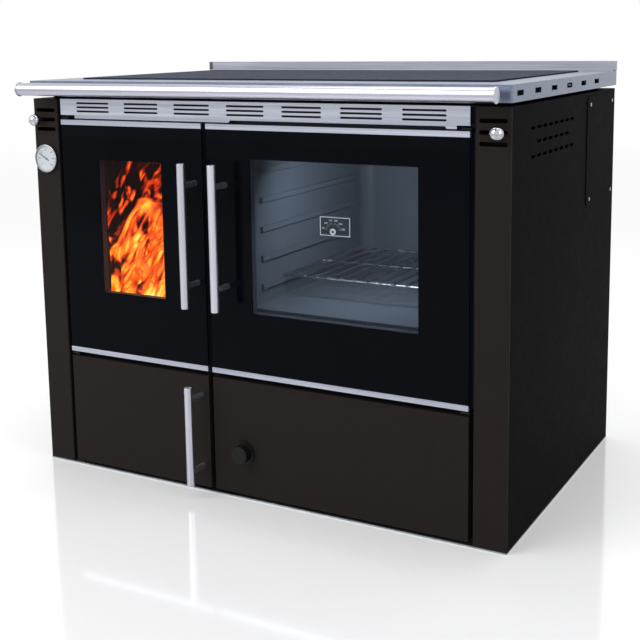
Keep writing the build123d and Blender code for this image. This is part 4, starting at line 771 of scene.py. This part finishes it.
@dataclass
class Fire:
    """Logs, embers and flames in the firebox."""

    left: float = -0.386
    right: float = -0.182
    front: float = -0.300
    back: float = 0.100
    floor: float = 0.3205
    top: float = 0.690
    log_radius: float = 0.034
    log_length: float = 0.300
    log_voxel: float = 0.0045
    bed_thickness: float = 0.018
    bed_rise: float = 0.014
    bed_gap: float = 0.018
    flame_rise: float = 0.045
    flame_gap: float = 0.012
    sheets: tuple[tuple[float, float], ...] = field(
        default=((-0.301, 1.0), (-0.270, -2.0), (-0.235, 2.0), (-0.190, -1.0)))

    def rough_up(self, strength: float, size: float, name: str) -> None:
        """Roughens the active object along its normals.

        Args:
            strength: how far points move.
            size: size of the lumps.
            name: name of the lump pattern.
        """
        clouds = bpy.data.textures.new(name, "CLOUDS")
        clouds.noise_scale = size
        bpy.ops.object.modifier_add(type="DISPLACE")
        made = bpy.context.object.modifiers[-1]
        made.texture = clouds
        made.strength = strength
        made.texture_coords = "GLOBAL"
        bpy.ops.object.modifier_apply(modifier=made.name)

    def model_log(self) -> bpy.types.Object:
        """Models one split log along y: a many-sided bar cut along its length, rounded, remeshed and roughened.

        Returns:
            The log, centred on the origin.
        """
        clear_selection()
        bpy.ops.mesh.primitive_cylinder_add(vertices=28, radius=self.log_radius, depth=self.log_length,
                                            rotation=(pi / 2, 0, 0))
        made = bpy.context.object
        settle(made)
        bpy.ops.object.mode_set(mode="EDIT")
        bpy.ops.mesh.select_all(action="SELECT")
        bpy.ops.mesh.bisect(plane_co=(0.012, 0, 0.010), plane_no=(0.8, 0, 0.6), use_fill=True, clear_outer=True)
        bpy.ops.mesh.select_all(action="SELECT")
        bpy.ops.mesh.bevel(offset=0.003, segments=2, affect="EDGES")
        bpy.ops.object.mode_set(mode="OBJECT")
        bpy.ops.object.modifier_add(type="REMESH")
        remesh = made.modifiers[-1]
        remesh.mode = "VOXEL"
        remesh.voxel_size = self.log_voxel
        bpy.ops.object.modifier_apply(modifier=remesh.name)
        self.rough_up(0.007, 0.018, "bark lumps")
        bpy.ops.object.shade_smooth()
        return made

    def build_logs(self) -> None:
        """Copies the log to its places on the embers."""
        model = self.model_log()
        middle = (self.left + self.right) / 2
        places = (((middle - 0.055, -0.120, 0.384), (4, 10, 6)), ((middle + 0.052, -0.110, 0.386), (-3, 150, -5)),
                  ((middle - 0.004, -0.115, 0.438), (3, 60, 14)))
        for index, (spot, turn) in enumerate(places):
            turning = Matrix.Rotation(radians(turn[2]), 4, "Z") @ Matrix.Rotation(radians(turn[0]), 4, "X")
            turning = turning @ Matrix.Rotation(radians(turn[1]), 4, "Y")
            log = copy_at(model, Matrix.Translation(spot) @ turning)
            keep(log, f"log_{index + 1}", CHARRED_WOOD, "casing")
        bpy.data.objects.remove(model)

    def build_embers(self) -> None:
        """Models the ember bed from a block that is subdivided and roughened."""
        clear_selection()
        middle = ((self.left + self.right) / 2, (self.front + self.back) / 2, self.floor + self.bed_rise)
        bpy.ops.mesh.primitive_cube_add(size=1.0, location=middle)
        made = bpy.context.object
        made.scale = (self.right - self.left - self.bed_gap, self.back - self.front - self.bed_gap,
                      self.bed_thickness)
        settle(made)
        bpy.ops.object.mode_set(mode="EDIT")
        bpy.ops.mesh.select_all(action="SELECT")
        bpy.ops.mesh.subdivide(number_cuts=40)
        bpy.ops.object.mode_set(mode="OBJECT")
        self.rough_up(0.008, 0.014, "ember lumps")
        bpy.ops.object.shade_smooth()
        keep(made, "ember_bed", EMBERS, "casing")

    def build_flames(self) -> None:
        """Models the flames as waving sheets, one behind the other."""
        for index, (y, turn) in enumerate(self.sheets):
            clear_selection()
            middle = ((self.left + self.right) / 2, y, (self.floor + self.flame_rise + self.top) / 2)
            bpy.ops.mesh.primitive_plane_add(size=1.0, location=middle, rotation=(pi / 2, 0, radians(turn)))
            made = bpy.context.object
            made.scale = (self.right - self.left - self.flame_gap, self.top - self.floor - self.flame_rise, 1.0)
            settle(made)
            bpy.ops.object.mode_set(mode="EDIT")
            bpy.ops.mesh.select_all(action="SELECT")
            bpy.ops.mesh.subdivide(number_cuts=36)
            bpy.ops.object.mode_set(mode="OBJECT")
            self.rough_up(0.018, 0.07, f"flame waves {index + 1}")
            bpy.ops.object.shade_smooth()
            keep(made, f"flame_{index + 1}", FLAME, "casing")

    def build(self) -> None:
        """Builds the fire."""
        self.build_embers()
        self.build_logs()
        self.build_flames()


@dataclass
class Studio:
    """Floor, lamps, world and camera."""

    eye: Point = (1.1833, -2.1885, 0.9362)
    yaw: float = 28.918
    pitch: float = -8.913
    roll: float = -0.842
    focal_pixels: float = 1129.1
    frame_pixels: float = 640.0
    centre_row: float = 213.0
    sensor: float = 36.0
    floor_size: float = 14.0
    floor_colour: Tone = (0.80, 0.80, 0.81)
    floor_gloss: tuple[float, float] = (0.05, 0.14)
    floor_bend: float = 2.1
    floor_lift: float = 0.20
    sky: float = 0.55

    def lay_floor(self) -> None:
        """Lays the pale glossy floor."""
        clear_selection()
        bpy.ops.mesh.primitive_plane_add(size=self.floor_size, location=(0, 0, 0))
        floor = bpy.context.object
        floor.name = "studio_floor"
        made = bpy.data.materials.new("pale glossy floor")
        made.use_nodes = True
        shader = made.node_tree.nodes["Principled BSDF"]
        noise = made.node_tree.nodes.new("ShaderNodeTexNoise")
        noise.inputs["Scale"].default_value = 1.2
        shade = made.node_tree.nodes.new("ShaderNodeMapRange")
        shade.inputs["To Min"].default_value, shade.inputs["To Max"].default_value = self.floor_gloss
        made.node_tree.links.new(noise.outputs["Fac"], shade.inputs["Value"])
        made.node_tree.links.new(shade.outputs["Result"], shader.inputs["Roughness"])
        shader.inputs["Base Color"].default_value = (*self.floor_colour, 1.0)
        shader.inputs["Emission Color"].default_value = (1.0, 1.0, 1.0, 1.0)
        path = made.node_tree.nodes.new("ShaderNodeLightPath")
        glow = made.node_tree.nodes.new("ShaderNodeMath")
        glow.operation = "MULTIPLY"
        glow.inputs[1].default_value = self.floor_lift
        made.node_tree.links.new(path.outputs["Is Camera Ray"], glow.inputs[0])
        made.node_tree.links.new(glow.outputs[0], shader.inputs["Emission Strength"])
        shader.inputs["IOR"].default_value = self.floor_bend
        floor.data.materials.append(made)

    def hang_lamp(self, name: str, place: Point, aim: Point, size: float, power: float) -> None:
        """Hangs a soft square lamp.

        Args:
            name: its name.
            place: where it hangs.
            aim: what it points at.
            size: its side.
            power: its power in watts.
        """
        light = bpy.data.lights.new(name, "AREA")
        light.size = size
        light.energy = power
        lamp = bpy.data.objects.new(name, light)
        lamp.location = place
        lamp.rotation_euler = (Vector(aim) - Vector(place)).to_track_quat("-Z", "Y").to_euler()
        bpy.context.scene.collection.objects.link(lamp)

    def light_world(self) -> None:
        """Sets a soft sky whose background shows white."""
        world = bpy.data.worlds.new("studio sky")
        bpy.context.scene.world = world
        world.use_nodes = True
        tree = world.node_tree
        back = tree.nodes["Background"]
        back.inputs["Color"].default_value = (1.0, 1.0, 1.0, 1.0)
        path = tree.nodes.new("ShaderNodeLightPath")
        total = path.outputs["Is Camera Ray"]
        for kind in ("Is Glossy Ray", "Is Transmission Ray"):
            more = tree.nodes.new("ShaderNodeMath")
            more.operation = "MAXIMUM"
            tree.links.new(total, more.inputs[0])
            tree.links.new(path.outputs[kind], more.inputs[1])
            total = more.outputs[0]
        level = tree.nodes.new("ShaderNodeMapRange")
        level.inputs["To Min"].default_value = self.sky
        level.inputs["To Max"].default_value = 1.0
        tree.links.new(total, level.inputs["Value"])
        tree.links.new(level.outputs["Result"], back.inputs["Strength"])

    def set_camera(self) -> None:
        """Sets the camera at the photograph's place and angle."""
        yaw, pitch, roll = (radians(v) for v in (self.yaw, self.pitch, self.roll))
        ahead = Vector((-sin(yaw) * cos(pitch), cos(yaw) * cos(pitch), sin(pitch)))
        level = Vector((cos(yaw), sin(yaw), 0))
        upright = level.cross(ahead)
        right = cos(roll) * level + sin(roll) * upright
        up = -sin(roll) * level + cos(roll) * upright
        data = bpy.data.cameras.new("photo camera")
        data.sensor_width = self.sensor
        data.lens = self.focal_pixels / self.frame_pixels * self.sensor
        data.shift_y = (self.centre_row - self.frame_pixels / 2) / self.frame_pixels
        data.clip_start = 0.05
        camera = bpy.data.objects.new("photo camera", data)
        turn = Matrix((right, up, -ahead)).transposed()
        camera.matrix_world = Matrix.Translation(self.eye) @ turn.to_4x4()
        bpy.context.scene.collection.objects.link(camera)
        bpy.context.scene.camera = camera

    def build(self) -> None:
        """Builds the studio."""
        self.lay_floor()
        self.hang_lamp("key lamp", (-1.6, -2.6, 2.6), (0, 0, 0.4), 2.6, 70)
        self.hang_lamp("side lamp", (3.0, -0.6, 1.9), (0, 0, 0.4), 2.0, 20)
        self.hang_lamp("top lamp", (0.2, 0.4, 3.0), (0, 0, 0.4), 2.4, 35)
        self.hang_lamp("oven lamp", (0.186, -0.230, 0.705), (0.186, 0.05, 0.45), 0.12, 2.1)
        self.light_world()
        self.set_camera()
        bpy.context.scene.view_settings.view_transform = "Standard"


def main() -> None:
    """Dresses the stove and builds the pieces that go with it."""
    logging.basicConfig(level=logging.INFO, format="%(name)s %(message)s")
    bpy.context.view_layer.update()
    dress_nodes()
    for part in (BoilerGauge(), OvenGauge(), Regulator(), Fire(), Studio()):
        part.build()


if __name__ == "__main__":
    main()
